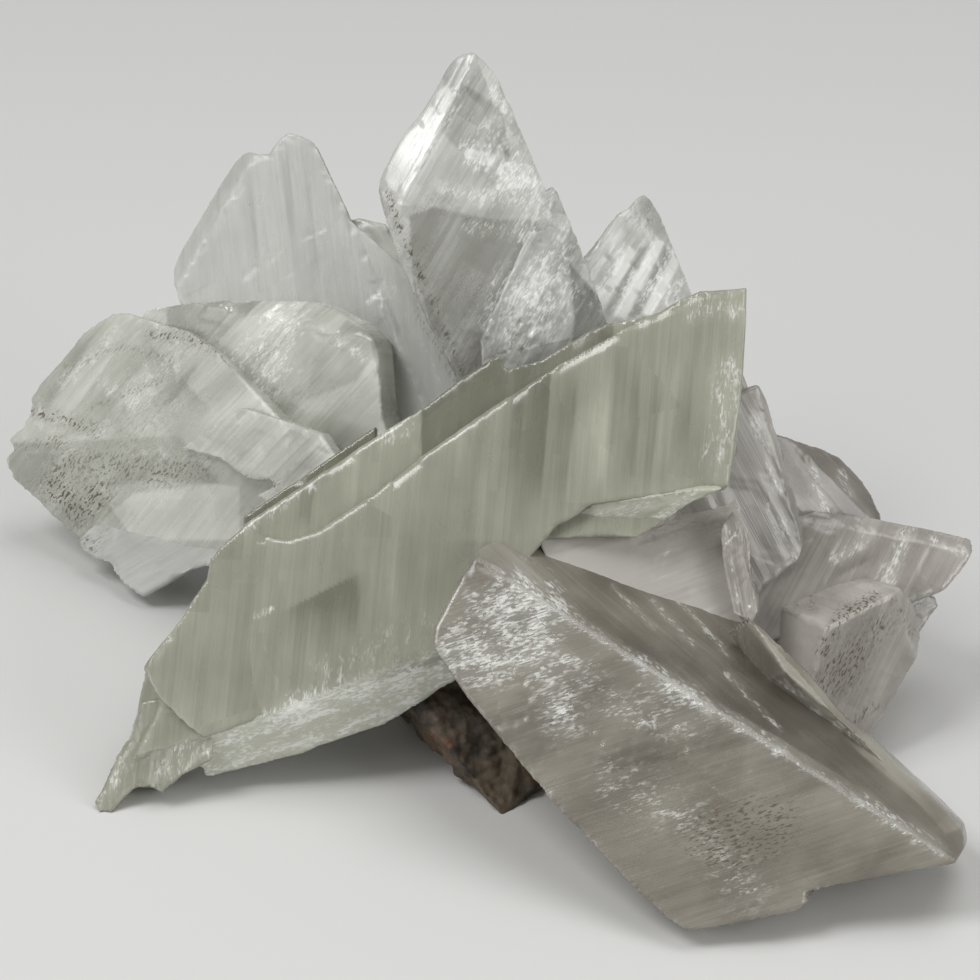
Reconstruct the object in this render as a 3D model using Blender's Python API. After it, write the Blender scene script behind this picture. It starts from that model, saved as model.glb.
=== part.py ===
"""A selenite cluster: gypsum blades grown through each other, on a lump of clay-stained matrix.

The blades are laid out on a front elevation, a square sheet seen square on by an eye that looks
down on the cluster. A point of the sheet is (across, up) in millimetres from its lower left
corner. It is carried along the line of sight on to the plane of a crystal's face, and the face is
then given its thickness. Blades behind the cluster, which the elevation can't show, are placed by
their root, direction and size.
"""
import math

import bmesh
import bpy
from mathutils import Matrix, Vector

MM = 0.001

# The front elevation and the eye that it is drawn for
SHEET_SIDE = 147.0
SHEET_MIDDLE = Vector((0.0, 0.0, 42.2))  # from the origin on the table to the sheet's middle
EYE_DISTANCE = 500.0
EYE_RAISED = math.radians(30)

ACROSS = Vector((1, 0, 0))
UP = Vector((0, math.sin(EYE_RAISED), math.cos(EYE_RAISED)))
NEAR = Vector((0, -math.cos(EYE_RAISED), math.sin(EYE_RAISED)))
EYE = SHEET_MIDDLE + NEAR * EYE_DISTANCE

TABLE_Z = 0.0  # the cluster stands on the table, and nothing reaches below it
PRISM_ANGLE = math.radians(54)  # between a gypsum blade's long edge and its end faces
GIRDLE = 0.55  # how far back through a blade its edges start to slope in to its rear face

# The mass at the middle in which the blades meet
HEART_MIDDLE = Vector((2.0, 6.0, 23.0))
HEART_RADIUS = 17.0
HEART_STRETCH = (1.25, 0.95, 0.85)

# The matrix is a lump broken along flat faces round its middle. Each face has the way that it
# looks, as a bearing from +X and a lift above level in degrees, and its distance in millimetres.
MATRIX_MIDDLE = Vector((4.0, -1.0, 9.0))
MATRIX_GAP = 0.3  # clearance between the crystals and the matrix
MATRIX_BREAKS = [(-150, -28, 16.3), (-60, 45, 7.2), (-40, -20, 15.9), (-6, 10, 18.0),
                 (28, -14, 18.5), (60, 20, 19.0), (95, -12, 19.4), (128, 22, 19.0),
                 (160, -14, 19.5), (-172, 30, 17.0), (-115, 20, 19.0), (30, 64, 12.5),
                 (150, 66, 12.0)]

SELENITE_COLOUR = (0.58, 0.60, 0.55, 1)
MATRIX_COLOUR = (0.30, 0.20, 0.13, 1)


def sheet_point(across, up):
    """A point of the elevation, in space."""
    middle = SHEET_SIDE / 2
    return SHEET_MIDDLE + ACROSS * (across - middle) + UP * (up - middle)


def sight(across, up, near):
    """The point seen at (across, up) on the sheet that stands near mm in front of it."""
    return EYE + (sheet_point(across, up) - EYE) * (1 - near / EYE_DISTANCE)


def facing(turn, tip):
    """The normal of a face turned to the right and tipped upwards from square on, in degrees."""
    sideways = math.radians(turn)
    upwards = math.radians(tip)
    level = ACROSS * math.sin(sideways) + NEAR * math.cos(sideways)
    return level * math.cos(upwards) + UP * math.sin(upwards)


def on_face(point, origin, normal, into=None):
    """A sheet point carried on to a face. A third number is the depth below the face at which
    the wall under that point of the outline is seen, and into is the way that the wall runs."""
    depth = point[2] if len(point) > 2 else 0.0
    ray = sheet_point(point[0], point[1]) - EYE
    along = (origin - normal * depth - EYE).dot(normal) / ray.dot(normal)
    return EYE + ray * along - (into or -normal) * depth


def cut_away(bm, through, outward):
    """Removes what lies beyond a plane and closes the cut."""
    whole = bm.verts[:] + bm.edges[:] + bm.faces[:]
    cut = bmesh.ops.bisect_plane(bm, geom=whole, dist=1e-5, plane_co=through, plane_no=outward,
                                 clear_outer=True)
    rim = [e for e in cut["geom_cut"] if isinstance(e, bmesh.types.BMEdge)]
    bmesh.ops.holes_fill(bm, edges=rim, sides=0)


def push_back(bm, face, offset, taper):
    """Extrudes a face by an offset, and draws its new outline in towards its middle."""
    raised = bmesh.ops.extrude_face_region(bm, geom=[face])
    rear = [v for v in raised["geom"] if isinstance(v, bmesh.types.BMVert)]
    middle = sum((v.co for v in rear), Vector()) / len(rear)
    narrow = Matrix.Translation(middle) @ Matrix.Scale(taper, 4) @ Matrix.Translation(-middle)
    bmesh.ops.transform(bm, matrix=Matrix.Translation(offset) @ narrow, verts=rear)
    return next(f for f in raised["geom"] if isinstance(f, bmesh.types.BMFace))


def solid_object(name, bm):
    """Closes the mesh up as an object, in metres."""
    bmesh.ops.remove_doubles(bm, verts=bm.verts, dist=1e-3)
    bmesh.ops.recalc_face_normals(bm, faces=bm.faces)
    bmesh.ops.triangulate(bm, faces=[f for f in bm.faces if len(f.verts) > 4])
    bmesh.ops.transform(bm, matrix=Matrix.Scale(MM, 4), verts=bm.verts)
    mesh = bpy.data.meshes.new(name)
    bm.to_mesh(mesh)
    bm.free()
    made = bpy.data.objects.new(name, mesh)
    bpy.context.scene.collection.objects.link(made)
    return made


def blade(name, outline, at, turn, tip, thickness, bevels=(), taper=0.94, rear_taper=0.84,
          lean=(0, 0)):
    """A tabular crystal: its outline as the elevation shows it, on a face through the point at,
    its thickness behind that face, and bevels. A bevel is a line on the front face, by two sheet
    points, and how steeply the new face falls from it in degrees. The walls lean across and up
    by the tangents in lean, and draw in by the tapers."""
    origin = sight(*at)
    normal = facing(turn, tip)
    into = ACROSS * lean[0] + UP * lean[1] - normal
    into /= -into.dot(normal)
    ring = [on_face(point, origin, normal, into) for point in outline]
    middle = sum(ring, Vector()) / len(ring)

    bm = bmesh.new()
    front = bm.faces.new([bm.verts.new(co) for co in ring])
    girdle = push_back(bm, front, into * thickness * GIRDLE, taper)
    push_back(bm, girdle, into * thickness * (1 - GIRDLE), rear_taper)
    bmesh.ops.delete(bm, geom=[girdle], context="FACES_ONLY")

    for first, second, fall in bevels:
        start = on_face(first, origin, normal)
        sideways = (on_face(second, origin, normal) - start).cross(normal).normalized()
        if sideways.dot(start - middle) < 0:
            sideways = -sideways
        steep = math.radians(fall)
        cut_away(bm, start, sideways * math.sin(steep) + normal * math.cos(steep))
    cut_away(bm, Vector((0, 0, TABLE_Z)), Vector((0, 0, -1)))
    return solid_object(name, bm)


def rear_blade(name, root, towards, face, width, thickness, lean=1):
    """A blade behind the cluster: from its root to a tip, its broad face turned to face, with
    the bevelled edges and slanting end of a gypsum crystal. The end leans to one side."""
    base = Vector(root)
    along = (Vector(towards) - base).normalized()
    length = (Vector(towards) - base).length
    normal = (Vector(face) - along * Vector(face).dot(along)).normalized()
    side = along.cross(normal)
    slant = width / math.tan(PRISM_ANGLE)
    left_end = length - (slant if lean > 0 else 0)
    right_end = length - (0 if lean > 0 else slant)
    corners = [(0, -width / 2), (left_end, -width / 2), (right_end, width / 2), (0, width / 2)]

    bm = bmesh.new()
    ring = [bm.verts.new(base + along * x + side * y + normal * thickness / 2) for x, y in corners]
    push_back(bm, bm.faces.new(ring), -normal * thickness, 1.0)

    edge_fall = math.radians(52)
    end_fall = math.radians(38)
    edge_left = thickness * 0.2
    for way in (1, -1):
        for turned in (1, -1):
            bevelled = side * turned * math.sin(edge_fall) + normal * way * math.cos(edge_fall)
            cut_away(bm, base + side * turned * width / 2 + normal * way * edge_left, bevelled)
        ended = along * math.sin(end_fall) + normal * way * math.cos(end_fall)
        cut_away(bm, base + along * length + normal * way * edge_left, ended)
    cut_away(bm, Vector((0, 0, TABLE_Z)), Vector((0, 0, -1)))
    return solid_object(name, bm)


def front_blade():
    """The long green-grey blade across the front, which stands on its lower left toe. Its near
    sheet stops short of its far one along the top and at the lower right, and leaves ledges."""
    face = dict(turn=-10, tip=10, lean=(-0.14, 0.12))
    left_edge = [(36.0, 67.6), (33.3, 65.3), (31.4, 63.0), (30.9, 60.0), (28.5, 56.6),
                 (27.0, 54.0), (24.0, 50.3, 2), (21.5, 46.7, 3), (20.8, 42.0, 4), (20.6, 39.8, 4),
                 (19.2, 36.0, 4), (17.4, 33.4, 4)]
    lower_edge = [(18.6, 29.2, 4), (24.2, 28.4, 4), (25.7, 29.2, 4), (27.0, 30.6, 4),
                  (30.4, 32.2, 4), (30.6, 29.9, 5), (45.0, 33.2, 5), (47.2, 34.6, 5),
                  (57.6, 37.8, 5), (66.0, 43.4, 9), (68.6, 44.8, 9)]
    right_edge = [(109.1, 73.9), (110.3, 79.5), (111.4, 91.5), (112.2, 104.1)]
    near_sheet = blade(
        "front_blade_near_sheet",
        lower_edge
        + [(80.0, 64.0), (83.3, 67.8), (86.3, 69.4), (88.5, 71.2), (96.0, 72.2), (105.0, 73.4)]
        + right_edge
        + [(105.0, 103.5), (102.8, 102.6), (99.0, 100.4), (96.0, 99.2), (90.0, 95.9),
           (84.0, 92.6), (75.3, 86.7), (63.3, 78.6), (57.0, 73.4), (48.0, 67.5), (43.0, 66.0)]
        + left_edge,
        at=(14.3, 24.8, 0), thickness=10, taper=1.0, rear_taper=0.9,
        bevels=[((24.0, 33.0), (45.0, 41.0), 46), ((45.0, 41.0), (68.0, 48.0), 48),
                ((32.5, 59.0), (22.5, 38.0), 42)], **face)
    far_sheet = blade(
        "front_blade_far_sheet",
        [(30.4, 36.0), (68.0, 50.0), (73.0, 64.0), (80.0, 66.0), (90.0, 66.5), (95.6, 66.3),
         (99.0, 68.3), (104.3, 71.8), (108.8, 74.1), (110.8, 92.0), (111.4, 103.4),
         (105.0, 103.1), (99.0, 100.2), (93.3, 98.9), (90.0, 98.3), (81.0, 93.0), (75.8, 91.7),
         (75.0, 94.0), (69.0, 90.3), (63.2, 85.8), (56.4, 81.5), (36.8, 68.6)]
        + left_edge[:8] + [(24.0, 42.0)],
        at=(14.3, 24.8, -3.0), thickness=8.5, taper=0.98, rear_taper=0.88, **face)
    rim = blade(
        "front_blade_rim",
        [(83.3, 67.8), (84.0, 66.9), (90.0, 66.5), (95.6, 66.3), (99.0, 68.3), (104.3, 71.8),
         (108.8, 73.6), (105.0, 73.6), (96.0, 72.4), (88.5, 71.4)],
        at=(96.0, 72.3, 5.8), turn=-10, tip=-32, thickness=5)
    toe = blade(
        "front_blade_toe",
        [(14.0, 26.6), (14.6, 24.9), (16.5, 24.7), (18.2, 26.9), (20.0, 28.7), (22.5, 28.8),
         (24.2, 27.8), (27.0, 30.6), (32.0, 33.0), (32.0, 44.0), (21.2, 42.0), (19.4, 36.2),
         (16.8, 32.6)], at=(14.3, 24.8, -0.4), thickness=6, **face)
    strip = blade(
        "front_blade_dark_strip", [(36.5, 69.5), (36.5, 66.0), (56.4, 79.5), (56.4, 83.0)],
        at=(14.3, 24.8, -7.0), thickness=3, taper=1.0, rear_taper=1.0, **face)
    return [near_sheet, far_sheet, rim, toe, strip]


def leaning_block():
    """The thick brownish crystal at the lower right, which leans on its lower corner. A ridge
    parts its pale near face from the darker one that falls away to the upper right, and a thin
    sheet runs along its upper right edge."""
    outline = [(64.6, 50.3), (69.0, 43.5), (82.5, 27.0), (94.5, 14.3), (100.5, 9.0), (102.8, 7.6),
               (105.0, 7.4), (119.3, 10.2), (121.2, 11.6), (120.5, 13.1), (136.0, 16.2, 2),
               (141.8, 17.4, 3), (143.4, 17.8, 3), (144.8, 20.0, 4), (144.4, 22.6, 5), (141.0, 26.6, 8),
               (132.6, 34.6, 11), (126.8, 39.6, 12), (113.6, 54.4, 13), (104.0, 68.0, 15),
               (78.0, 67.5, 5), (75.0, 66.6), (72.0, 64.8), (69.2, 61.0), (67.2, 57.0),
               (65.0, 53.0)]
    block = blade("leaning_block", outline, at=(78.0, 66.8, 8), turn=-4, tip=20, thickness=24,
                  taper=1.0, rear_taper=0.78, lean=(0.1, 0.36),
                  bevels=[((90.0, 51.5), (139.5, 20.3), 40)])
    edge_sheet = blade(
        "leaning_block_edge_sheet",
        [(112.0, 54.8), (117.8, 46.2), (127.5, 37.6), (134.3, 30.6), (140.4, 24.4), (141.8, 23.2),
         (140.4, 25.8), (131.4, 34.4), (126.0, 39.2), (116.2, 50.4)],
        at=(127.5, 37.8, 15.3), turn=27, tip=30, thickness=8, taper=1.0, rear_taper=0.96,
        lean=(0.1, 0.3))
    return [block, edge_sheet]


def left_blades():
    """Three pale blades that fan out to the left: a broad rounded one, a speckled one with a
    ragged end, and a low white one that stands on its tip."""
    broad = blade(
        "left_broad_blade",
        [(20.6, 99.4), (22.5, 100.7), (26.7, 101.4), (33.0, 102.0), (45.0, 102.0),
         (48.8, 101.0), (51.8, 99.3), (54.3, 97.8), (56.0, 96.0), (56.6, 93.8),
         (57.5, 84.0), (62.0, 72.0), (50.0, 62.0), (36.0, 68.0), (24.0, 84.0)],
        at=(45.0, 100.0, -29), turn=-30, tip=-6, thickness=11,
        bevels=[((33.0, 100.8), (54.0, 96.4), 35)])
    speckled = blade(
        "left_speckled_blade",
        [(20.4, 99.6), (18.7, 100.2), (16.8, 100.0), (14.6, 98.7), (12.2, 97.0),
         (9.0, 93.0), (6.0, 89.7), (4.5, 87.3), (4.5, 84.8), (3.7, 83.2),
         (1.1, 81.0), (2.1, 79.8), (1.0, 78.3, 1), (1.2, 77.2, 1), (2.3, 75.0, 2),
         (5.8, 71.8, 3), (8.1, 69.5, 4), (10.2, 67.5, 4), (11.8, 65.8, 4), (24.0, 64.0),
         (40.0, 62.0), (52.0, 66.0), (44.0, 82.0), (33.0, 94.0), (28.0, 97.5)],
        at=(45.0, 84.0, -25), turn=-36, tip=-2, thickness=12,
        bevels=[((2.5, 79.4), (33.0, 78.8), 14)])
    low = blade(
        "left_low_blade",
        [(11.6, 66.0), (12.0, 64.5), (14.3, 62.9), (16.2, 62.5), (18.0, 60.0),
         (20.2, 57.9), (21.3, 57.2), (22.5, 57.9), (27.8, 61.0), (31.0, 62.0),
         (46.0, 60.0), (58.0, 64.0), (50.0, 76.0), (37.0, 72.8), (18.0, 71.8)],
        at=(21.3, 57.3, -49), turn=-33, tip=4, thickness=11, lean=(0, 0.3))
    ledge = blade(
        "left_ledge",
        [(27.0, 79.8), (33.0, 78.2), (36.8, 75.0), (40.6, 75.0), (41.0, 74.0), (38.2, 72.6),
         (46.0, 68.0), (56.0, 70.0), (48.0, 82.0), (36.0, 86.0)],
        at=(45.0, 84.0, -23.4), turn=-36, tip=-2, thickness=6)
    return [broad, speckled, low, ledge]


def upper_left_blades():
    """The white blade at the upper left, with a notched end, and the sliver behind it."""
    white = blade(
        "upper_left_blade",
        [(25.7, 106.5, 1), (26.1, 108.0, 1), (27.0, 110.0, 1), (30.0, 115.0, 1),
         (33.0, 120.2, 1), (35.0, 123.0, 1), (36.0, 124.0, 1), (37.1, 124.5), (38.4, 124.0),
         (40.2, 124.0),
         (41.0, 124.8), (42.2, 126.5), (43.2, 127.2), (44.6, 126.8), (46.5, 126.1),
         (47.5, 125.2), (52.8, 114.0), (60.4, 107.2), (69.0, 90.3), (80.0, 70.0), (66.0, 62.0),
         (40.0, 80.0), (26.8, 101.0), (26.0, 104.0)],
        at=(69.0, 90.3, -30), turn=-14, tip=8, thickness=13, lean=(-0.12, 0.08),
        bevels=[((28.5, 107.5), (37.0, 122.0), 30), ((54.0, 111.3), (59.3, 97.5), 20)])
    sliver = blade(
        "upper_left_sliver",
        [(52.4, 114.0), (53.6, 114.5), (57.8, 113.6), (61.5, 106.0), (72.0, 84.0),
         (62.0, 80.0), (48.0, 104.0)],
        at=(57.0, 110.0, -40), turn=-10, tip=8, thickness=8)
    return [white, sliver]


def tall_blades():
    """The tallest crystal, at the middle, with a sheet on the right of its face, and the
    pointed one behind it to the right."""
    main = blade(
        "tall_blade",
        [(67.2, 137.4), (68.2, 138.6), (69.3, 139.3), (70.6, 139.4), (72.0, 138.6),
         (73.5, 137.2), (75.0, 135.0), (76.8, 131.3), (79.5, 124.5), (82.1, 118.8),
         (86.0, 110.0), (90.0, 96.0), (94.0, 80.0), (84.0, 60.0), (74.0, 74.0),
         (69.0, 90.3), (64.5, 98.3), (60.3, 107.3), (58.2, 113.7), (57.2, 117.3),
         (56.7, 119.7), (57.0, 121.2), (59.3, 125.3), (60.8, 127.8), (63.0, 130.2),
         (65.6, 134.3)],
        at=(69.0, 88.0, -13), turn=7, tip=4, thickness=14,
        bevels=[((69.9, 136.5), (61.5, 119.0), 30), ((72.5, 136.0), (79.0, 121.0), 24),
                ((62.3, 116.0), (81.0, 115.6), 9), ((59.6, 117.0), (70.6, 92.0), 46)])
    sheet = blade(
        "tall_blade_sheet",
        [(81.9, 118.6), (82.8, 119.3), (83.6, 118.5), (87.0, 110.3), (90.0, 102.0),
         (91.0, 99.3), (94.0, 90.0), (86.0, 78.0), (73.0, 86.0), (72.0, 96.0),
         (78.0, 109.5), (81.0, 115.2)],
        at=(69.0, 88.0, -11.6), turn=7, tip=4, thickness=9)
    pointed = blade(
        "pointed_blade",
        [(87.3, 108.0), (90.8, 112.2), (92.8, 115.1), (93.4, 115.5), (94.8, 116.1),
         (95.6, 117.4), (96.7, 118.1, 1), (97.9, 117.3, 2), (99.2, 114.8, 3), (102.2, 108.0, 3),
         (104.0, 103.3, 3), (108.2, 92.0, 3), (98.0, 74.0), (84.0, 80.0), (82.0, 96.0)],
        at=(96.0, 100.0, -24), turn=12, tip=6, thickness=12,
        bevels=[((96.5, 114.0), (101.5, 101.0), 38)])
    return [main, sheet, pointed]


def right_upright_blades():
    """The upright crystals on the right, and the small one with a point at both ends."""
    upright = blade(
        "right_upright_blade",
        [(112.0, 88.7), (112.8, 89.1), (113.7, 89.5), (114.5, 88.8), (115.5, 87.0),
         (116.4, 84.0), (117.2, 81.5), (118.2, 77.5), (120.0, 72.0), (121.0, 66.0),
         (120.0, 62.8), (114.6, 58.6), (112.0, 54.0), (100.0, 50.0), (96.0, 70.0),
         (104.0, 84.0)],
        at=(112.0, 75.0, -5), turn=16, tip=-4, thickness=12,
        bevels=[((117.4, 76.0), (120.2, 66.0), 40)])
    spike = blade(
        "right_spike",
        [(107.0, 97.0), (110.4, 93.8), (112.4, 88.8), (114.0, 82.0), (102.0, 74.0), (96.0, 90.0)],
        at=(110.0, 90.0, -16), turn=10, tip=4, thickness=8)
    rounded = blade(
        "right_rounded_blade",
        [(116.5, 81.9), (120.0, 80.7, 1), (123.2, 79.8, 2), (126.5, 78.4, 2), (129.2, 75.5, 2),
         (130.8, 73.0, 2), (131.8, 69.4, 2), (131.0, 62.0), (118.0, 54.0), (104.0, 60.0),
         (106.0, 76.0)],
        at=(124.0, 72.0, -16), turn=24, tip=-4, thickness=12,
        bevels=[((121.0, 78.8), (129.5, 70.5), 32)])
    small = blade(
        "small_double_ended",
        [(110.0, 70.6), (108.4, 68.8), (108.0, 67.5), (108.3, 63.0), (109.5, 57.0),
         (110.0, 54.9), (112.8, 53.5), (113.7, 55.0), (113.6, 57.0), (112.0, 62.0),
         (111.2, 68.3)],
        at=(111.0, 60.0, 3), turn=-12, tip=6, thickness=7,
        bevels=[((110.9, 68.6), (113.0, 55.0), 34)])
    return [upright, spike, rounded, small]


def right_spread_blades():
    """The crystals that spread to the right: one that points right with a knob under it, a
    speckled block, and the brown one that shows between them and the front."""
    right = blade(
        "right_pointing_blade",
        [(122.0, 70.8), (131.5, 69.5, 1), (139.0, 68.0, 1), (145.9, 66.3, 1), (146.3, 65.2),
         (145.3, 63.0), (143.8, 60.8), (141.8, 58.6), (138.0, 57.2), (126.0, 52.0),
         (108.0, 50.0), (104.0, 64.0)],
        at=(132.0, 64.0, -12), turn=8, tip=14, thickness=12,
        bevels=[((133.0, 66.6), (145.0, 64.2), 30)])
    knob = blade(
        "right_knob",
        [(136.0, 59.0), (140.6, 57.6), (140.9, 56.2), (139.6, 54.5),
         (138.0, 52.0), (126.0, 50.0), (124.0, 57.0)],
        at=(138.0, 56.0, -14), turn=14, tip=0, thickness=9)
    block = blade(
        "right_speckled_block",
        [(124.2, 52.8), (130.0, 56.0), (135.6, 58.6), (137.6, 56.6), (138.8, 53.7),
         (138.9, 51.0), (138.0, 48.8), (135.8, 45.0), (131.7, 37.8), (128.0, 32.0),
         (119.5, 37.0)],
        at=(124.2, 52.8, 2), turn=35, tip=-15, thickness=18, taper=0.98,
        bevels=[((134.5, 57.0), (137.0, 50.0), 24)])
    brown = blade(
        "brown_blade",
        [(86.0, 60.0), (96.0, 72.0), (109.6, 75.4), (112.5, 66.0), (113.0, 54.0), (98.0, 50.0)],
        at=(104.0, 66.0, -2), turn=10, tip=16, thickness=10)
    return [right, knob, block, brown]


def rear_blades():
    """Blades that only show from behind and below, which carry the rosette all the way round."""
    root = (2, 6, 16)
    made = [
        rear_blade("rear_left_blade", root, (-32, 50, 38), (-0.5, 0.2, 1), 26, 12),
        rear_blade("rear_middle_blade", root, (8, 62, 44), (0.1, -0.6, 1), 28, 12, lean=-1),
        rear_blade("rear_right_blade", root, (42, 44, 24), (0.4, 0.3, 1), 24, 11),
        rear_blade("rear_low_left_blade", root, (-24, 46, 8), (-0.3, 0.3, 1), 24, 10, lean=-1),
        rear_blade("rear_low_right_blade", root, (30, 50, 9), (0.2, 0.2, 1), 26, 11),
        rear_blade("right_low_blade", root, (58, 10, 8), (0.3, 0.5, 1), 22, 11, lean=-1),
    ]
    first_bearing = 24
    bearing_step = 19
    for step in range(8):
        bearing = math.radians(first_bearing + step * bearing_step)
        reach = 31 + 4 * (step % 3)
        rise = (20, 34, 12, 27)[step % 4]
        tip = (root[0] + reach * math.cos(bearing), root[1] + reach * math.sin(bearing), rise)
        face = (math.sin(2.1 * step), math.cos(1.3 * step), 0.9)
        name = f"rear_fringe_blade_{step + 1}"
        made.append(rear_blade(name, root, tip, face, 13 + 2 * (step % 2), 7, lean=(-1) ** step))
    return made


def grown_heart():
    """The mass at the middle, behind the front blade's face."""
    bm = bmesh.new()
    bmesh.ops.create_icosphere(bm, subdivisions=2, radius=HEART_RADIUS)
    stretch = Matrix.Translation(HEART_MIDDLE) @ Matrix.Diagonal((*HEART_STRETCH, 1))
    bmesh.ops.transform(bm, matrix=stretch, verts=bm.verts)
    return solid_object("grown_heart", bm)


def matrix_lump(name, gap, foot):
    """The lump of matrix, or with a gap the hollow that it sits in. foot is its lowest level."""
    bm = bmesh.new()
    bmesh.ops.create_cube(bm, size=120)
    bmesh.ops.translate(bm, verts=bm.verts, vec=MATRIX_MIDDLE)
    for bearing, lift, distance in MATRIX_BREAKS:
        level = math.cos(math.radians(lift))
        outward = Vector((math.cos(math.radians(bearing)) * level,
                          math.sin(math.radians(bearing)) * level, math.sin(math.radians(lift))))
        cut_away(bm, MATRIX_MIDDLE + outward * (distance + gap), outward)
    cut_away(bm, Vector((0, 0, foot)), Vector((0, 0, -1)))
    return solid_object(name, bm)


def coloured(name, colour, roughness):
    material = bpy.data.materials.new(name)
    material.use_nodes = True
    shader = material.node_tree.nodes["Principled BSDF"]
    shader.inputs["Base Color"].default_value = colour
    shader.inputs["Roughness"].default_value = roughness
    shader.inputs["Metallic"].default_value = 0.0
    material.diffuse_color = colour
    return material


def as_guides(objects, name):
    """Gathers solids that only serve a Boolean, and keeps them out of the render."""
    gathered = bpy.data.collections.new(name)
    bpy.context.scene.collection.children.link(gathered)
    for made in objects:
        bpy.context.scene.collection.objects.unlink(made)
        gathered.objects.link(made)
        made.hide_render = True
        made.display_type = "WIRE"
    return gathered


def main():
    for old in list(bpy.data.objects):
        bpy.data.objects.remove(old)

    crystals = grown_heart()
    crystals.name = "selenite_crystals"
    blades = (front_blade() + leaning_block() + left_blades() + upper_left_blades()
              + tall_blades() + right_upright_blades() + right_spread_blades() + rear_blades())
    grown = crystals.modifiers.new("grown together", "BOOLEAN")
    grown.operation = "UNION"
    grown.solver = "EXACT"
    grown.operand_type = "COLLECTION"
    grown.collection = as_guides(blades, "blades")

    socket = matrix_lump("matrix_socket", MATRIX_GAP, TABLE_Z - 5)
    as_guides([socket], "sockets")
    seated = crystals.modifiers.new("seat on the matrix", "BOOLEAN")
    seated.operation = "DIFFERENCE"
    seated.solver = "EXACT"
    seated.object = socket
    crystals.data.materials.append(coloured("selenite", SELENITE_COLOUR, 0.25))

    matrix = matrix_lump("clay_matrix", 0.0, TABLE_Z)
    matrix.data.materials.append(coloured("stained_clay", MATRIX_COLOUR, 0.85))


main()
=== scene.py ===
import itertools
import math

import bmesh
import bpy
import numpy as np
from mathutils import Matrix, Vector


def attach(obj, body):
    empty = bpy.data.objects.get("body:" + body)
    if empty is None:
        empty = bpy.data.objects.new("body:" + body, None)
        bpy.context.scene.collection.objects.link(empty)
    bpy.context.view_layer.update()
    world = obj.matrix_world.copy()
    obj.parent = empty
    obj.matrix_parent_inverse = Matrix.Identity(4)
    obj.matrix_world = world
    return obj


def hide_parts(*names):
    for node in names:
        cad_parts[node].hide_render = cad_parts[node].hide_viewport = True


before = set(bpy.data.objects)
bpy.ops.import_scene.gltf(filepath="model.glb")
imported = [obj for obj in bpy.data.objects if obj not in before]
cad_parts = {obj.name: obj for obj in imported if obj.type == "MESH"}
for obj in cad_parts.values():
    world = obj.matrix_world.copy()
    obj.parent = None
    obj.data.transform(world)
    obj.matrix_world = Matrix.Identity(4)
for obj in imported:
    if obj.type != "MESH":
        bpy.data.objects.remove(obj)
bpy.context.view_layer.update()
mm = 0.001

# The crystals are laid out as in the solids: on a front elevation, a square sheet seen square on.
# Sheet points are (across, up) in mm from its lower left corner.
sheet = {
    "side": 147.0,
    "middle": Vector((0, 0, 42.2)),
    "eyeDistance": 500.0,
    "eyeRaised": math.radians(30),
}
acrossWay = Vector((1, 0, 0))
upWay = Vector((0, math.sin(sheet["eyeRaised"]), math.cos(sheet["eyeRaised"])))
nearWay = Vector((0, -math.cos(sheet["eyeRaised"]), math.sin(sheet["eyeRaised"])))
eye = sheet["middle"] + nearWay * sheet["eyeDistance"]
girdle = 0.55  # how far back through a blade its edges start to slope in
farOff = 99.0  # mm, more than any mark or edge reaches
table = Vector((0, 0, 0))
down = Vector((0, 0, -1))


def sheetPoint(across, up):
    middle = sheet["side"] / 2
    return sheet["middle"] + acrossWay * (across - middle) + upWay * (up - middle)


def sight(across, up, near):
    return eye + (sheetPoint(across, up) - eye) * (1 - near / sheet["eyeDistance"])


def facing(turn, tip):
    sideways = math.radians(turn)
    upwards = math.radians(tip)
    level = acrossWay * math.sin(sideways) + nearWay * math.cos(sideways)
    return level * math.cos(upwards) + upWay * math.sin(upwards)


def onFace(point, origin, normal, into=None):
    depth = point[2] if len(point) > 2 else 0.0
    ray = sheetPoint(point[0], point[1]) - eye
    along = (origin - normal * depth - eye).dot(normal) / ray.dot(normal)
    return eye + ray * along - (into or -normal) * depth


# noise
def latticeValue(cells, seed):
    mixed = (cells[:, 0] * 73856093) ^ (cells[:, 1] * 19349663) ^ (cells[:, 2] * 83492791)
    mixed = (mixed ^ (seed * 2654435761)) & 0xFFFFFFFF
    mixed = ((mixed ^ (mixed >> 13)) * 1274126177) & 0xFFFFFFFF
    mixed = ((mixed ^ (mixed >> 15)) * 2246822519) & 0xFFFFFFFF
    mixed = mixed ^ (mixed >> 16)
    return (mixed & 0xFFFF) / 32767.5 - 1


def softNoise(points, seed):
    base = np.floor(points).astype(np.int64)
    part = points - base
    blend = part * part * part * (part * (part * 6 - 15) + 10)
    total = np.zeros(len(points))
    for corner in itertools.product((0, 1), repeat=3):
        weight = np.prod(np.where(np.array(corner), blend, 1 - blend), axis=1)
        total += weight * latticeValue(base + np.array(corner), seed)
    return total


def layeredNoise(points, seed, layers=3):
    total = np.zeros(len(points))
    for layer in range(layers):
        total += softNoise(points * 2.03 ** layer, seed + layer) * 0.55 ** layer
    return total


def smoothStep(low, high, values):
    part = np.clip((values - low) / (high - low), 0, 1)
    return part * part * (3 - 2 * part)


# blocking out
def cutAway(bm, through, outward):
    whole = bm.verts[:] + bm.edges[:] + bm.faces[:]
    cut = bmesh.ops.bisect_plane(bm, geom=whole, dist=1e-5, plane_co=through, plane_no=outward,
                                 clear_outer=True)
    rim = [e for e in cut["geom_cut"] if isinstance(e, bmesh.types.BMEdge)]
    bmesh.ops.holes_fill(bm, edges=rim, sides=0)


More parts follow.
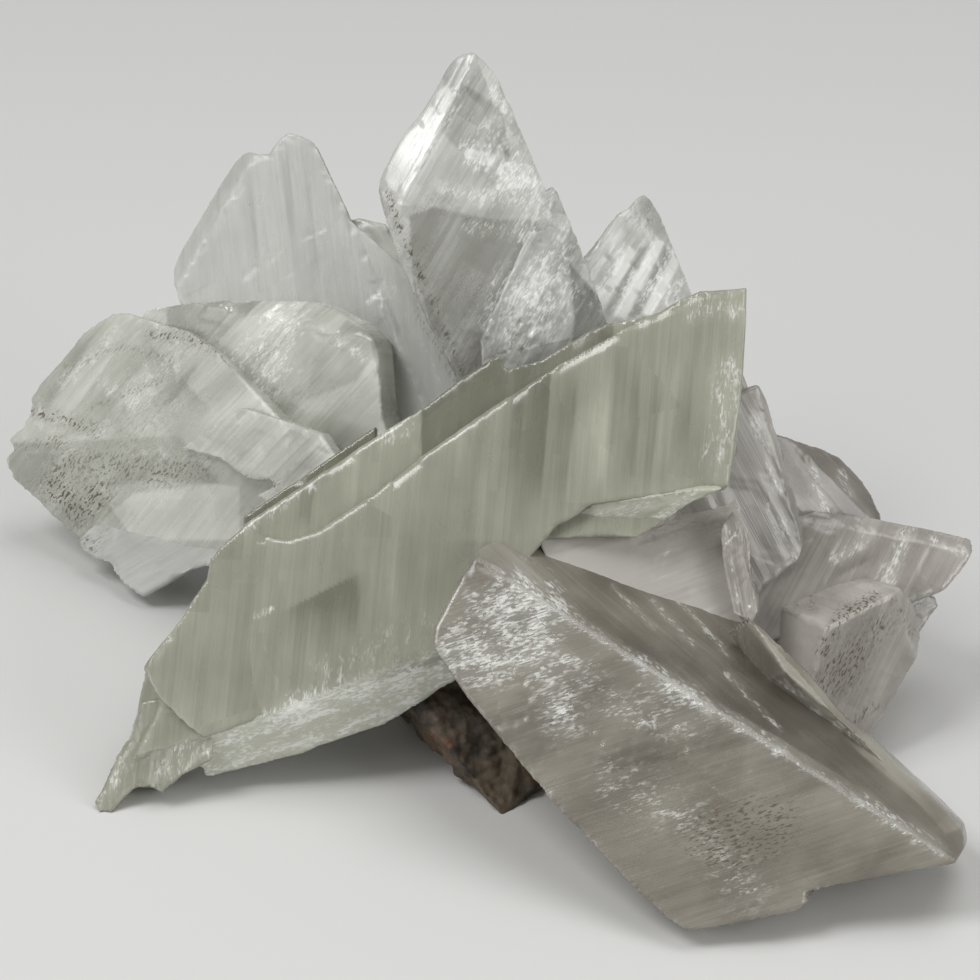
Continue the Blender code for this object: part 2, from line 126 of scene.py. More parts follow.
def pushBack(bm, face, offset, taper):
    raised = bmesh.ops.extrude_face_region(bm, geom=[face])
    rear = [v for v in raised["geom"] if isinstance(v, bmesh.types.BMVert)]
    middle = sum((v.co for v in rear), Vector()) / len(rear)
    narrow = Matrix.Translation(middle) @ Matrix.Scale(taper, 4) @ Matrix.Translation(-middle)
    bmesh.ops.transform(bm, matrix=Matrix.Translation(offset) @ narrow, verts=rear)
    return next(f for f in raised["geom"] if isinstance(f, bmesh.types.BMFace))


def bladeBlock(crystal):
    origin = sight(*crystal["at"])
    normal = facing(crystal["turn"], crystal["tip"])
    lean = crystal.get("lean", (0, 0))
    into = acrossWay * lean[0] + upWay * lean[1] - normal
    into /= -into.dot(normal)
    ring = [onFace(point, origin, normal, into) for point in crystal["outline"]]
    middle = sum(ring, Vector()) / len(ring)
    bm = bmesh.new()
    front = bm.faces.new([bm.verts.new(co) for co in ring])
    waist = pushBack(bm, front, into * crystal["thick"] * girdle, crystal.get("taper", 0.94))
    pushBack(bm, waist, into * crystal["thick"] * (1 - girdle), crystal.get("rearTaper", 0.84))
    bmesh.ops.delete(bm, geom=[waist], context="FACES_ONLY")
    for first, second, fall in crystal.get("bevels", ()):
        start = onFace(first, origin, normal)
        sideways = (onFace(second, origin, normal) - start).cross(normal).normalized()
        if sideways.dot(start - middle) < 0:
            sideways = -sideways
        steep = math.radians(fall)
        cutAway(bm, start, sideways * math.sin(steep) + normal * math.cos(steep))
    cutAway(bm, table, down)
    grainAngle = math.radians(crystal["grain"])
    grainEnd = (crystal["at"][0] + math.cos(grainAngle), crystal["at"][1] + math.sin(grainAngle))
    grain = (onFace(grainEnd, origin, normal) - onFace(crystal["at"][:2], origin, normal)).normalized()
    return bm, origin, normal, grain


rearShape = {"cornerAngle": 54, "edgeFall": 52, "endFall": 38, "shoulder": 0.2}


def rearBlock(crystal):
    base = Vector(crystal["root"])
    along = (Vector(crystal["towards"]) - base).normalized()
    length = (Vector(crystal["towards"]) - base).length
    face = Vector(crystal["face"])
    normal = (face - along * face.dot(along)).normalized()
    side = along.cross(normal)
    width = crystal["width"]
    thick = crystal["thick"]
    slant = width / math.tan(math.radians(rearShape["cornerAngle"]))
    lean = crystal.get("endLean", 1)
    leftEnd = length - (slant if lean > 0 else 0)
    rightEnd = length - (0 if lean > 0 else slant)
    corners = [(0, -width / 2), (leftEnd, -width / 2), (rightEnd, width / 2), (0, width / 2)]
    bm = bmesh.new()
    ring = [bm.verts.new(base + along * x + side * y + normal * thick / 2) for x, y in corners]
    pushBack(bm, bm.faces.new(ring), -normal * thick, 1.0)
    edgeFall = math.radians(rearShape["edgeFall"])
    endFall = math.radians(rearShape["endFall"])
    shoulder = rearShape["shoulder"]
    for way in (1, -1):
        for turned in (1, -1):
            bevelled = side * turned * math.sin(edgeFall) + normal * way * math.cos(edgeFall)
            cutAway(bm, base + side * turned * width / 2 + normal * way * thick * shoulder, bevelled)
        ended = along * math.sin(endFall) + normal * way * math.cos(endFall)
        cutAway(bm, base + along * length + normal * way * thick * shoulder, ended)
    cutAway(bm, table, down)
    return bm, base + normal * thick / 2, normal, along


def localFrame(origin, normal, grain):
    # rows: along the grain, across it, out of the face
    across = normal.cross(grain).normalized()
    turnIn = Matrix((grain, across, normal))
    return turnIn.to_4x4() @ Matrix.Translation(-origin)


# fine meshes
def newPiece(name, data):
    piece = bpy.data.objects.new(name, data)
    bpy.context.scene.collection.objects.link(piece)
    return piece


def meshFrom(name, bm):
    mesh = bpy.data.meshes.new(name)
    bm.to_mesh(mesh)
    bm.free()
    return mesh


def movePoints(mesh, co):
    mesh.vertices.foreach_set("co", co.astype(np.float32).ravel())


def keepOnPoints(mesh, label, values):
    # a value for each point, or a vector for each
    several = values.ndim > 1
    kept = mesh.attributes.new(label, "FLOAT_VECTOR" if several else "FLOAT", "POINT")
    kept.data.foreach_set("vector" if several else "value", values.astype(np.float32).ravel())


def fineMesh(name, bm, toLocal, voxel):
    # the block in its own frame, remeshed to an even fine grid in line with its faces
    bmesh.ops.remove_doubles(bm, verts=bm.verts, dist=1e-3)
    bmesh.ops.recalc_face_normals(bm, faces=bm.faces)
    bmesh.ops.triangulate(bm, faces=bm.faces)
    bmesh.ops.transform(bm, matrix=toLocal, verts=bm.verts)
    rough = meshFrom(name + "Rough", bm)
    made = newPiece(name, rough)
    remesh = made.modifiers.new("even grid", "REMESH")
    remesh.mode = "VOXEL"
    remesh.voxel_size = voxel
    remesh.use_smooth_shade = True
    graph = bpy.context.evaluated_depsgraph_get()
    fine = bpy.data.meshes.new_from_object(made.evaluated_get(graph))
    made.modifiers.clear()
    made.data = fine
    bpy.data.meshes.remove(rough)
    return made


def coordsOf(mesh):
    co = np.empty(len(mesh.vertices) * 3, np.float32)
    mesh.vertices.foreach_get("co", co)
    return co.reshape(-1, 3).astype(float)


def normalsOf(mesh):
    out = np.empty(len(mesh.vertices) * 3, np.float32)
    mesh.vertex_normals.foreach_get("vector", out)
    return out.reshape(-1, 3).astype(float)


def segmentDistance(points, start, end):
    way = end - start
    share = np.clip(((points - start) @ way) / max(way @ way, 1e-9), 0, 1)
    return np.linalg.norm(points - start - share[:, None] * way, axis=1)


def sheetCoords(co):
    # where the eye sees each point on the sheet
    ray = co - np.array(eye)
    reach = sheet["eyeDistance"] / -(ray @ np.array(nearWay))
    seen = ray * reach[:, None] + np.array(eye - sheet["middle"])
    half = sheet["side"] / 2
    return np.stack([seen @ np.array(acrossWay) + half, seen @ np.array(upWay) + half], 1)


def markMask(seen, mark):
    # strength, half width and the points of its line: it fades out on both sides
    strength, halfWidth, *points = mark
    apart = np.full(len(seen), farOff)
    for start, end in zip(points, points[1:]):
        apart = np.minimum(apart, segmentDistance(seen, np.array(start), np.array(end)))
    return strength * np.exp(-(apart / halfWidth) ** 2)


def bandMask(seen, band):
    # strength, width, start, end: crisp on its right as it runs, it fades to the left and at both ends
    strength, width, start, end = band
    way = np.array(end) - np.array(start)
    length = math.hypot(*way)
    along = (seen - np.array(start)) @ way / length ** 2
    aside = (seen - np.array(start)) @ np.array((-way[1], way[0])) / length
    across = smoothStep(-0.15, 0.15, aside) * np.exp(-(np.maximum(aside, 0) / width) ** 2)
    return strength * across * smoothStep(0, 0.35, along) * smoothStep(1, 0.65, along)


def patchMask(seen, patch):
    # strength and the corners of a patch with crisp straight sides
    strength, *corners = patch
    inside = np.zeros(len(seen), bool)
    apart = np.full(len(seen), farOff)
    for start, end in zip(corners, corners[1:] + corners[:1]):
        apart = np.minimum(apart, segmentDistance(seen, np.array(start), np.array(end)))
        spans = (start[1] > seen[:, 1]) != (end[1] > seen[:, 1])
        share = (seen[:, 1] - start[1]) / ((end[1] - start[1]) or 1e-9)
        inside ^= spans & (seen[:, 0] < start[0] + share * (end[0] - start[0]))
    return strength * smoothStep(-0.25, 0.25, np.where(inside, apart, -apart))


def chance(count, seed):
    place = np.arange(count)
    return latticeValue(np.stack([place, place * 0, place * 0], 1), seed)


brickDepth = 4  # mm


def brickwork(s, c, w, size, seed):
    # a value for each cell of a brickwork in line with the grain, and the place inside the cell
    row = np.floor(c / size[1])
    layer = np.floor(w / brickDepth)
    shift = latticeValue(np.stack([row, layer, row * 0], 1).astype(np.int64), seed)
    along = s / size[0] + shift * 3
    column = np.floor(along)
    cell = np.stack([column, row, layer], 1).astype(np.int64)
    return latticeValue(cell, seed + 1), cell, along - column - 0.5, c / size[1] - row - 0.5


plateSlant = 0.73  # how far a plate's end runs along the grain for each mm across it


def growthPlates(s, c, get, seed):
    # low plates with straight sides along the grain and slanting ends
    count = get["plates"]
    middleS, halfS = (s.max() + s.min()) / 2, (s.max() - s.min()) / 2
    middleC, halfC = (c.max() + c.min()) / 2, (c.max() - c.min()) / 2
    placeS = middleS + halfS * chance(count, seed)
    placeC = middleC + halfC * chance(count, seed + 1)
    long = get["plateSize"][0] * (0.55 + 0.45 * chance(count, seed + 2))
    wide = get["plateSize"][1] * (0.6 + 0.4 * chance(count, seed + 3))
    high = get["plateHeight"] * chance(count, seed + 4)
    fades = chance(count, seed + 5) > 0.1
    slant = np.where(chance(count, seed + 6) > 0, plateSlant, -plateSlant)
    rise = np.zeros(len(s))
    for k in range(count):
        aside = c - placeC[k]
        along = s - placeS[k] - slant[k] * aside
        inside = smoothStep(wide[k] + 0.12, wide[k] - 0.12, np.abs(aside))
        inside *= smoothStep(long[k] + 0.2, long[k] - 0.2, np.abs(along))
        if fades[k]:
            inside *= np.clip((long[k] - along) / (2 * long[k]), 0, 1)
        rise += high[k] * inside
    return rise


defaults = {
    "voxel": 0.42, "swell": 0.1, "lines": (0.035, 28, 2.1), "fineLines": (0.02, 15, 0.85),
    "plates": 30, "plateHeight": 0.13, "plateSize": (10, 2.6), "mosaic": 0.0, "mosaicCell": (2.4, 1.25),
    "mosaicAt": (), "chips": 0.1, "paintedSheen": (), "dirt": (), "bands": (), "toneAndLightPatches": (),
    "paintedSheenAll": 0.0, "paintedEdgeGlow": 0.12, "seed": 1,
}


def weatherCrystal(made, crystal, toLocal, edges):
    get = {**defaults, **crystal}
    seed = get["seed"] * 17
    mesh = made.data
    co = coordsOf(mesh)
    out = normalsOf(mesh)
    back = np.array(toLocal.inverted())
    world = co @ back[:3, :3].T + back[:3, 3]
    ray = world - np.array(eye)
    ray /= np.linalg.norm(ray, axis=1)[:, None]
    near = smoothStep(0.0, 0.3, -np.sum(ray * (out @ back[:3, :3].T), axis=1))
    seen = sheetCoords(world)

    # the grain runs another way beyond a ridge
    place = co.copy()
    if "sideGrain" in get:
        angle, start, end = get["sideGrain"]
        way = np.array(end) - np.array(start)
        beyond = (seen - np.array(start)) @ np.array((-way[1], way[0])) > 0
        turned = math.radians(angle)
        along = seen @ np.array((math.cos(turned), math.sin(turned)))
        aside = seen @ np.array((-math.sin(turned), math.cos(turned)))
        place[:, 0] = np.where(beyond, along, place[:, 0])
        place[:, 1] = np.where(beyond, aside, place[:, 1])
    s, c, w = place.T
    flat = smoothStep(0.55, 0.85, np.abs(out[:, 2]))

    move = get["swell"] * layeredNoise(co / (34, 13, 13), seed, 2)
    fade = smoothStep(-0.4, 0.4, softNoise(co / (18, 9, 9), seed + 7))
    for deep, length, width in (get["lines"], get["fineLines"]):
        value, _, _, _ = brickwork(s, c, w, (length, width), seed + 3)
        move += deep * value * (0.3 + 0.7 * fade)
    move += flat * growthPlates(s, c, get, seed + 9)

    # etched mosaic of small cells, each at its own level and tilt
    if get["mosaic"]:
        value, cell, along, aside = brickwork(s, c, w, get["mosaicCell"], seed + 11)
        tilts = latticeValue(cell, seed + 13) * along * get["mosaicCell"][0]
        tilts += latticeValue(cell, seed + 14) * aside * get["mosaicCell"][1]
        share = 0.25 * smoothStep(-0.1, 0.35, layeredNoise(co / (9, 7, 7), seed + 15, 2))
        for mark in get["mosaicAt"]:
            share = np.maximum(share, markMask(seen, mark) * near)
        move += get["mosaic"] * (0.5 * np.minimum(value, 0.3) + 0.45 * tilts) * share

    apart = np.full(len(co), farOff)
    for start, end in edges:
        apart = np.minimum(apart, segmentDistance(co, start, end))
    nick = smoothStep(0.2, 0.8, layeredNoise(co / 1.5, seed + 21, 2))
    chunk = smoothStep(0.45, 0.6, softNoise(co / 4.2, seed + 23))
    move -= get["chips"] * (nick + 2.0 * chunk) * smoothStep(1.6, 0.2, apart)
    # painted highlight: a pale line along the sharp edges, broken up by noise
    paintedEdgeLine = smoothStep(0.7, 0.15, apart) * smoothStep(-0.4, 0.5, softNoise(co / 3.5, seed + 25))
    co = co + out * move[:, None]

    # painted sheen and glints: spread thinly over the whole crystal and strong along the given marks, on
    # faces towards the eye
    paintedSheen = get["paintedSheenAll"] * smoothStep(-0.5, 0.6, softNoise(co / (14, 5, 5), seed + 31))
    dirt = np.zeros(len(co))
    # painted light: every crystal made lighter towards its edges, as if light shone through the thin parts
    shade = -get["paintedEdgeGlow"] * np.exp(-apart / 2.4)
    for mark in get["paintedSheen"]:
        paintedSheen = paintedSheen + markMask(seen, mark) * near
    for mark in get["dirt"]:
        dirt = dirt + markMask(seen, mark) * near
    # tone bands and patches on faces towards the eye; some patches are painted light or painted shade
    uneven = 1 + 0.3 * layeredNoise(co / (12, 5, 6), seed + 41, 2)
    masks = [bandMask(seen, band) for band in get["bands"]]
    masks += [patchMask(seen, patch) for patch in get["toneAndLightPatches"]]
    for masked in masks:
        shade = shade + masked * uneven * near
    movePoints(mesh, co)
    for label, values in (("paintedSheen", paintedSheen), ("dirt", dirt), ("shade", shade), ("paintedEdgeLine", paintedEdgeLine)):
        keepOnPoints(mesh, label, np.clip(values, -1, 1.2))
    # each crystal reads its own part of the patterns
    keepOnPoints(mesh, "place", place + (get["seed"] * 37.3, get["seed"] * 11.9, 0))


def growCrystal(name, crystal):
    maker = rearBlock if "root" in crystal else bladeBlock
    bm, origin, normal, grain = maker(crystal)
    toLocal = localFrame(origin, normal, grain)
    sharp = []
    for edge in bm.edges:
        if len(edge.link_faces) == 2 and edge.calc_face_angle(0) > math.radians(12):
            sharp.append([np.array(toLocal @ v.co) for v in edge.verts])
    made = fineMesh(name, bm, toLocal, {**defaults, **crystal}["voxel"])
    weatherCrystal(made, crystal, toLocal, sharp)
    made.data.transform(Matrix.Scale(mm, 4) @ toLocal.inverted())
    co = coordsOf(made.data)
    co[:, 2] = np.maximum(co[:, 2], 0)
    movePoints(made.data, co)
    made.data.update()
    made.data.materials.append(finishes[crystal["look"]])
    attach(made, "root")
    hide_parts("selenite_crystals")


def growAll(crystals, what):
    for name, crystal in crystals.items():
        growCrystal(name, crystal)
    print(what, "grown")


# materials
class Nodes:
    def __init__(self, name):
        self.material = bpy.data.materials.new(name)
        self.material.use_nodes = True
        self.tree = self.material.node_tree
        self.shader = self.tree.nodes["Principled BSDF"]
        self.output = self.tree.nodes["Material Output"]

    def add(self, kind, **settings):
        node = self.tree.nodes.new(kind)
        for key, value in settings.items():
            setattr(node, key, value)
        return node

    def join(self, source, target):
        self.tree.links.new(source, target)

    def math(self, operation, first, second=None, clamp=False):
        node = self.add("ShaderNodeMath", operation=operation, use_clamp=clamp)
        for place, value in enumerate((first, second)):
            if value is None:
                continue
            if isinstance(value, (int, float)):
                node.inputs[place].default_value = value
            else:
                self.join(value, node.inputs[place])
        return node.outputs[0]

    def stretched(self, vector, sizes):
        node = self.add("ShaderNodeVectorMath", operation="MULTIPLY")
        self.join(vector, node.inputs[0])
        node.inputs[1].default_value = [1 / size for size in sizes]
        return node.outputs[0]

    def noise(self, vector, detail=3, roughness=0.55, distortion=0.0):
        node = self.add("ShaderNodeTexNoise")
        node.inputs["Scale"].default_value = 1.0
        node.inputs["Detail"].default_value = detail
        node.inputs["Roughness"].default_value = roughness
        node.inputs["Distortion"].default_value = distortion
        self.join(vector, node.inputs["Vector"])
        return node.outputs["Fac"]

    def ramp(self, value, low, high, start=0.0, end=1.0):
        node = self.add("ShaderNodeMapRange", clamp=True)
        self.join(value, node.inputs["Value"])
        node.inputs["From Min"].default_value = low
        node.inputs["From Max"].default_value = high
        node.inputs["To Min"].default_value = start
        node.inputs["To Max"].default_value = end
        return node.outputs["Result"]

    def mix(self, share, first, second):
        node = self.add("ShaderNodeMix", data_type="RGBA")
        self.join(share, node.inputs[0])
        for place, value in ((6, first), (7, second)):
            if isinstance(value, tuple):
                node.inputs[place].default_value = (*value, 1)
            else:
                self.join(value, node.inputs[place])
        return node.outputs[2]

    def attribute(self, name):
        return self.add("ShaderNodeAttribute", attribute_name=name).outputs["Fac"]

    def bump(self, height, strength, distance):
        node = self.add("ShaderNodeBump")
        node.inputs["Strength"].default_value = strength
        node.inputs["Distance"].default_value = distance
        self.join(height, node.inputs["Height"])
        self.join(node.outputs["Normal"], self.shader.inputs["Normal"])

    def panes(self, vector, size):
        # a value for each long straight-edged pane in line with the grain
        parts = self.add("ShaderNodeSeparateXYZ")
        self.join(vector, parts.inputs[0])
        row = self.math("FLOOR", self.math("DIVIDE", parts.outputs[1], size[1]))
        layer = self.math("FLOOR", self.math("DIVIDE", parts.outputs[2], paneDepth))
        chance = self.add("ShaderNodeTexWhiteNoise", noise_dimensions="1D")
        self.join(row, chance.inputs["W"])
        along = self.math("DIVIDE", parts.outputs[0], size[0])
        along = self.math("ADD", along, self.math("MULTIPLY", chance.outputs["Value"], 5.0))
        cell = self.add("ShaderNodeCombineXYZ")
        for place, value in enumerate((self.math("FLOOR", along), row, layer)):
            self.join(value, cell.inputs[place])
        value = self.add("ShaderNodeTexWhiteNoise", noise_dimensions="3D")
        self.join(cell.outputs[0], value.inputs["Vector"])
        return value.outputs["Value"]


looks = {
    "pale": {
        "dark": (0.46, 0.47, 0.405), "light": (0.78, 0.79, 0.72), "tint": (0.86, 0.88, 0.80),
        "clear": 0.34, "rough": 0.24, "edgeHighlight": 0.4, "panes": 0.24, "clouds": 0.34, "streaks": 0.22},
    "milky": {
        "dark": (0.44, 0.445, 0.415), "light": (0.62, 0.625, 0.59), "tint": (0.90, 0.91, 0.88),
        "clear": 0.25, "rough": 0.34, "edgeHighlight": 0.4, "panes": 0.20, "clouds": 0.24, "streaks": 0.24},
    "green": {
        "dark": (0.28, 0.285, 0.21), "light": (0.575, 0.58, 0.475), "tint": (0.78, 0.81, 0.68),
        "clear": 0.45, "rough": 0.22, "edgeHighlight": 0.24, "panes": 0.16, "clouds": 0.18, "streaks": 0.10},
    "brown": {
        "dark": (0.19, 0.165, 0.13), "light": (0.405, 0.385, 0.325), "tint": (0.82, 0.79, 0.70),
        "clear": 0.45, "rough": 0.24, "edgeHighlight": 0.2, "panes": 0.14, "clouds": 0.40, "streaks": 0.16},
    "pink": {
        "dark": (0.33, 0.30, 0.265), "light": (0.60, 0.575, 0.53), "tint": (0.88, 0.85, 0.80),
        "clear": 0.45, "rough": 0.2, "edgeHighlight": 0.35, "panes": 0.22, "clouds": 0.42, "streaks": 0.14},
    "bright": {
        "dark": (0.36, 0.36, 0.325), "light": (0.90, 0.905, 0.87), "tint": (0.88, 0.89, 0.85),
        "clear": 0.5, "rough": 0.23, "edgeHighlight": 0.4, "panes": 0.32, "clouds": 0.30, "streaks": 0.18},
}
# the near-white colour of the painted sheen, glints and edge highlights
paintedSheenColour = (0.84, 0.85, 0.82)
dirtColour = (0.09, 0.075, 0.05)
paneDepth = 7.0  # mm
# mm along the grain, across it and into the crystal
patternSizes = {
    "broadPanes": (30, 4.2), "narrowPanes": (14, 1.15), "clouds": (13, 8, 9),
    "longStreaks": (26, 0.42), "fineStreaks": (7, 0.16), "clumps": (3.0, 1.3, 1.6),
    "glints": (0.62, 0.2), "facets": (2.4, 0.7), "specks": (1.15, 0.36, 0.5),
    "ridges": (9, 0.2, 0.4), "grit": (0.9, 0.28, 0.5),
}
crystalBody = {
    "ior": 1.52, "coat": 0.16, "coatRough": 0.18, "absorb": 20.0, "bump": 0.5, "bumpHeight": 0.04 * mm,
}


def seleniteFinish(name, look):
    n = Nodes(name + "Selenite")
    spot = n.add("ShaderNodeAttribute", attribute_name="place").outputs["Vector"]
    size = patternSizes

    # straight-edged panes, soft clouds and fine streaks along the grain
    panes = n.math("MULTIPLY", n.panes(spot, size["broadPanes"]), 0.6)
    panes = n.math("ADD", panes, n.math("MULTIPLY", n.panes(spot, size["narrowPanes"]), 0.4))
    clouds = n.ramp(n.noise(n.stretched(spot, size["clouds"]), 2, 0.5), 0.32, 0.68)
    streaks = n.math("MULTIPLY", n.panes(spot, size["longStreaks"]), 0.5)
    streaks = n.math("ADD", streaks, n.math("MULTIPLY", n.panes(spot, size["fineStreaks"]), 0.5))
    tone = 0.5
    for part, share in ((panes, "panes"), (clouds, "clouds"), (streaks, "streaks")):
        tone = n.math("ADD", tone, n.math("MULTIPLY", n.math("SUBTRACT", part, 0.5), look[share]))
    # darker or lighter by the shade marks: tone bands, patches that are partly painted light and shade, and
    # the painted edge glow
    tone = n.math("SUBTRACT", tone, n.attribute("shade"), clamp=True)
    colour = n.mix(tone, look["dark"], look["light"])

    # painted sheen: a soft sheen with small straight-sided glints painted into the colour where the sheen
    # marks are strong
    paintedSheenHere = n.attribute("paintedSheen")
    clumps = n.noise(n.stretched(spot, size["clumps"]), 3, 0.65)
    glints = n.panes(spot, size["glints"])
    facets = n.panes(spot, size["facets"])
    strewn = n.math("ADD", n.math("MULTIPLY", clumps, 0.62), n.math("MULTIPLY", glints, 0.24))
    strewn = n.math("ADD", strewn, n.math("MULTIPLY", facets, 0.14))
    strewn = n.math("ADD", strewn, n.math("MULTIPLY", paintedSheenHere, 0.18))
    paintedSheen = n.math("MULTIPLY", n.ramp(strewn, 0.58, 0.78), n.ramp(paintedSheenHere, 0.02, 0.25, 0.0, 0.6))
    paintedSheen = n.math("ADD", paintedSheen, n.math("MULTIPLY", paintedSheenHere, 0.2), clamp=True)
    colour = n.mix(paintedSheen, colour, paintedSheenColour)

    # painted highlight: a thin pale line along the edges
    edgeHighlight = n.math("MULTIPLY", n.attribute("paintedEdgeLine"), n.ramp(clumps, 0.35, 0.65, 0.03, look["edgeHighlight"]))
    colour = n.mix(edgeHighlight, colour, paintedSheenColour)

    # dark specks and smudges where there is dirt
    specks = n.ramp(n.noise(n.stretched(spot, size["specks"]), 1, 0.65), 0.54, 0.61)
    smudge = n.ramp(clumps, 0.38, 0.65, 0.04, 0.42)
    dirt = n.math("MULTIPLY", n.attribute("dirt"), n.math("ADD", specks, smudge), clamp=True)
    colour = n.mix(dirt, colour, dirtColour)
    n.join(colour, n.shader.inputs["Base Color"])

    # clear where it is free of painted sheen and dirt and dark in tone, cloudy where it is light in tone
    freeOfSheenAndDirt = n.math("SUBTRACT", 1.0, n.math("MULTIPLY", paintedSheen, 0.85))
    freeOfSheenAndDirt = n.math("MULTIPLY", freeOfSheenAndDirt, n.math("SUBTRACT", 1.0, dirt))
    byTone = n.ramp(tone, 0.2, 0.9, look["clear"] * 1.35, look["clear"] * 0.65)
    n.join(n.math("MULTIPLY", freeOfSheenAndDirt, byTone), n.shader.inputs["Transmission Weight"])

    rough = n.ramp(clouds, 0, 1, look["rough"] * 1.4, look["rough"] * 0.6)
    rough = n.math("ADD", rough, n.math("MULTIPLY", dirt, 0.4))
    n.join(rough, n.shader.inputs["Roughness"])

    ridges = n.noise(n.stretched(spot, size["ridges"]), 0)
    grit = n.noise(n.stretched(spot, size["grit"]), 1, 0.65)
    grit = n.math("MULTIPLY", grit, n.ramp(paintedSheenHere, 0, 0.6, 0.1, 1.6))
    n.bump(n.math("ADD", ridges, grit), crystalBody["bump"], crystalBody["bumpHeight"])

    n.shader.inputs["IOR"].default_value = crystalBody["ior"]
    n.shader.inputs["Coat Weight"].default_value = crystalBody["coat"]
    n.shader.inputs["Coat Roughness"].default_value = crystalBody["coatRough"]
    absorb = n.add("ShaderNodeVolumeAbsorption")
    absorb.inputs["Color"].default_value = (*look["tint"], 1)
    absorb.inputs["Density"].default_value = crystalBody["absorb"]
    n.join(absorb.outputs["Volume"], n.output.inputs["Volume"])
    return n.material


finishes = {name: seleniteFinish(name, look) for name, look in looks.items()}

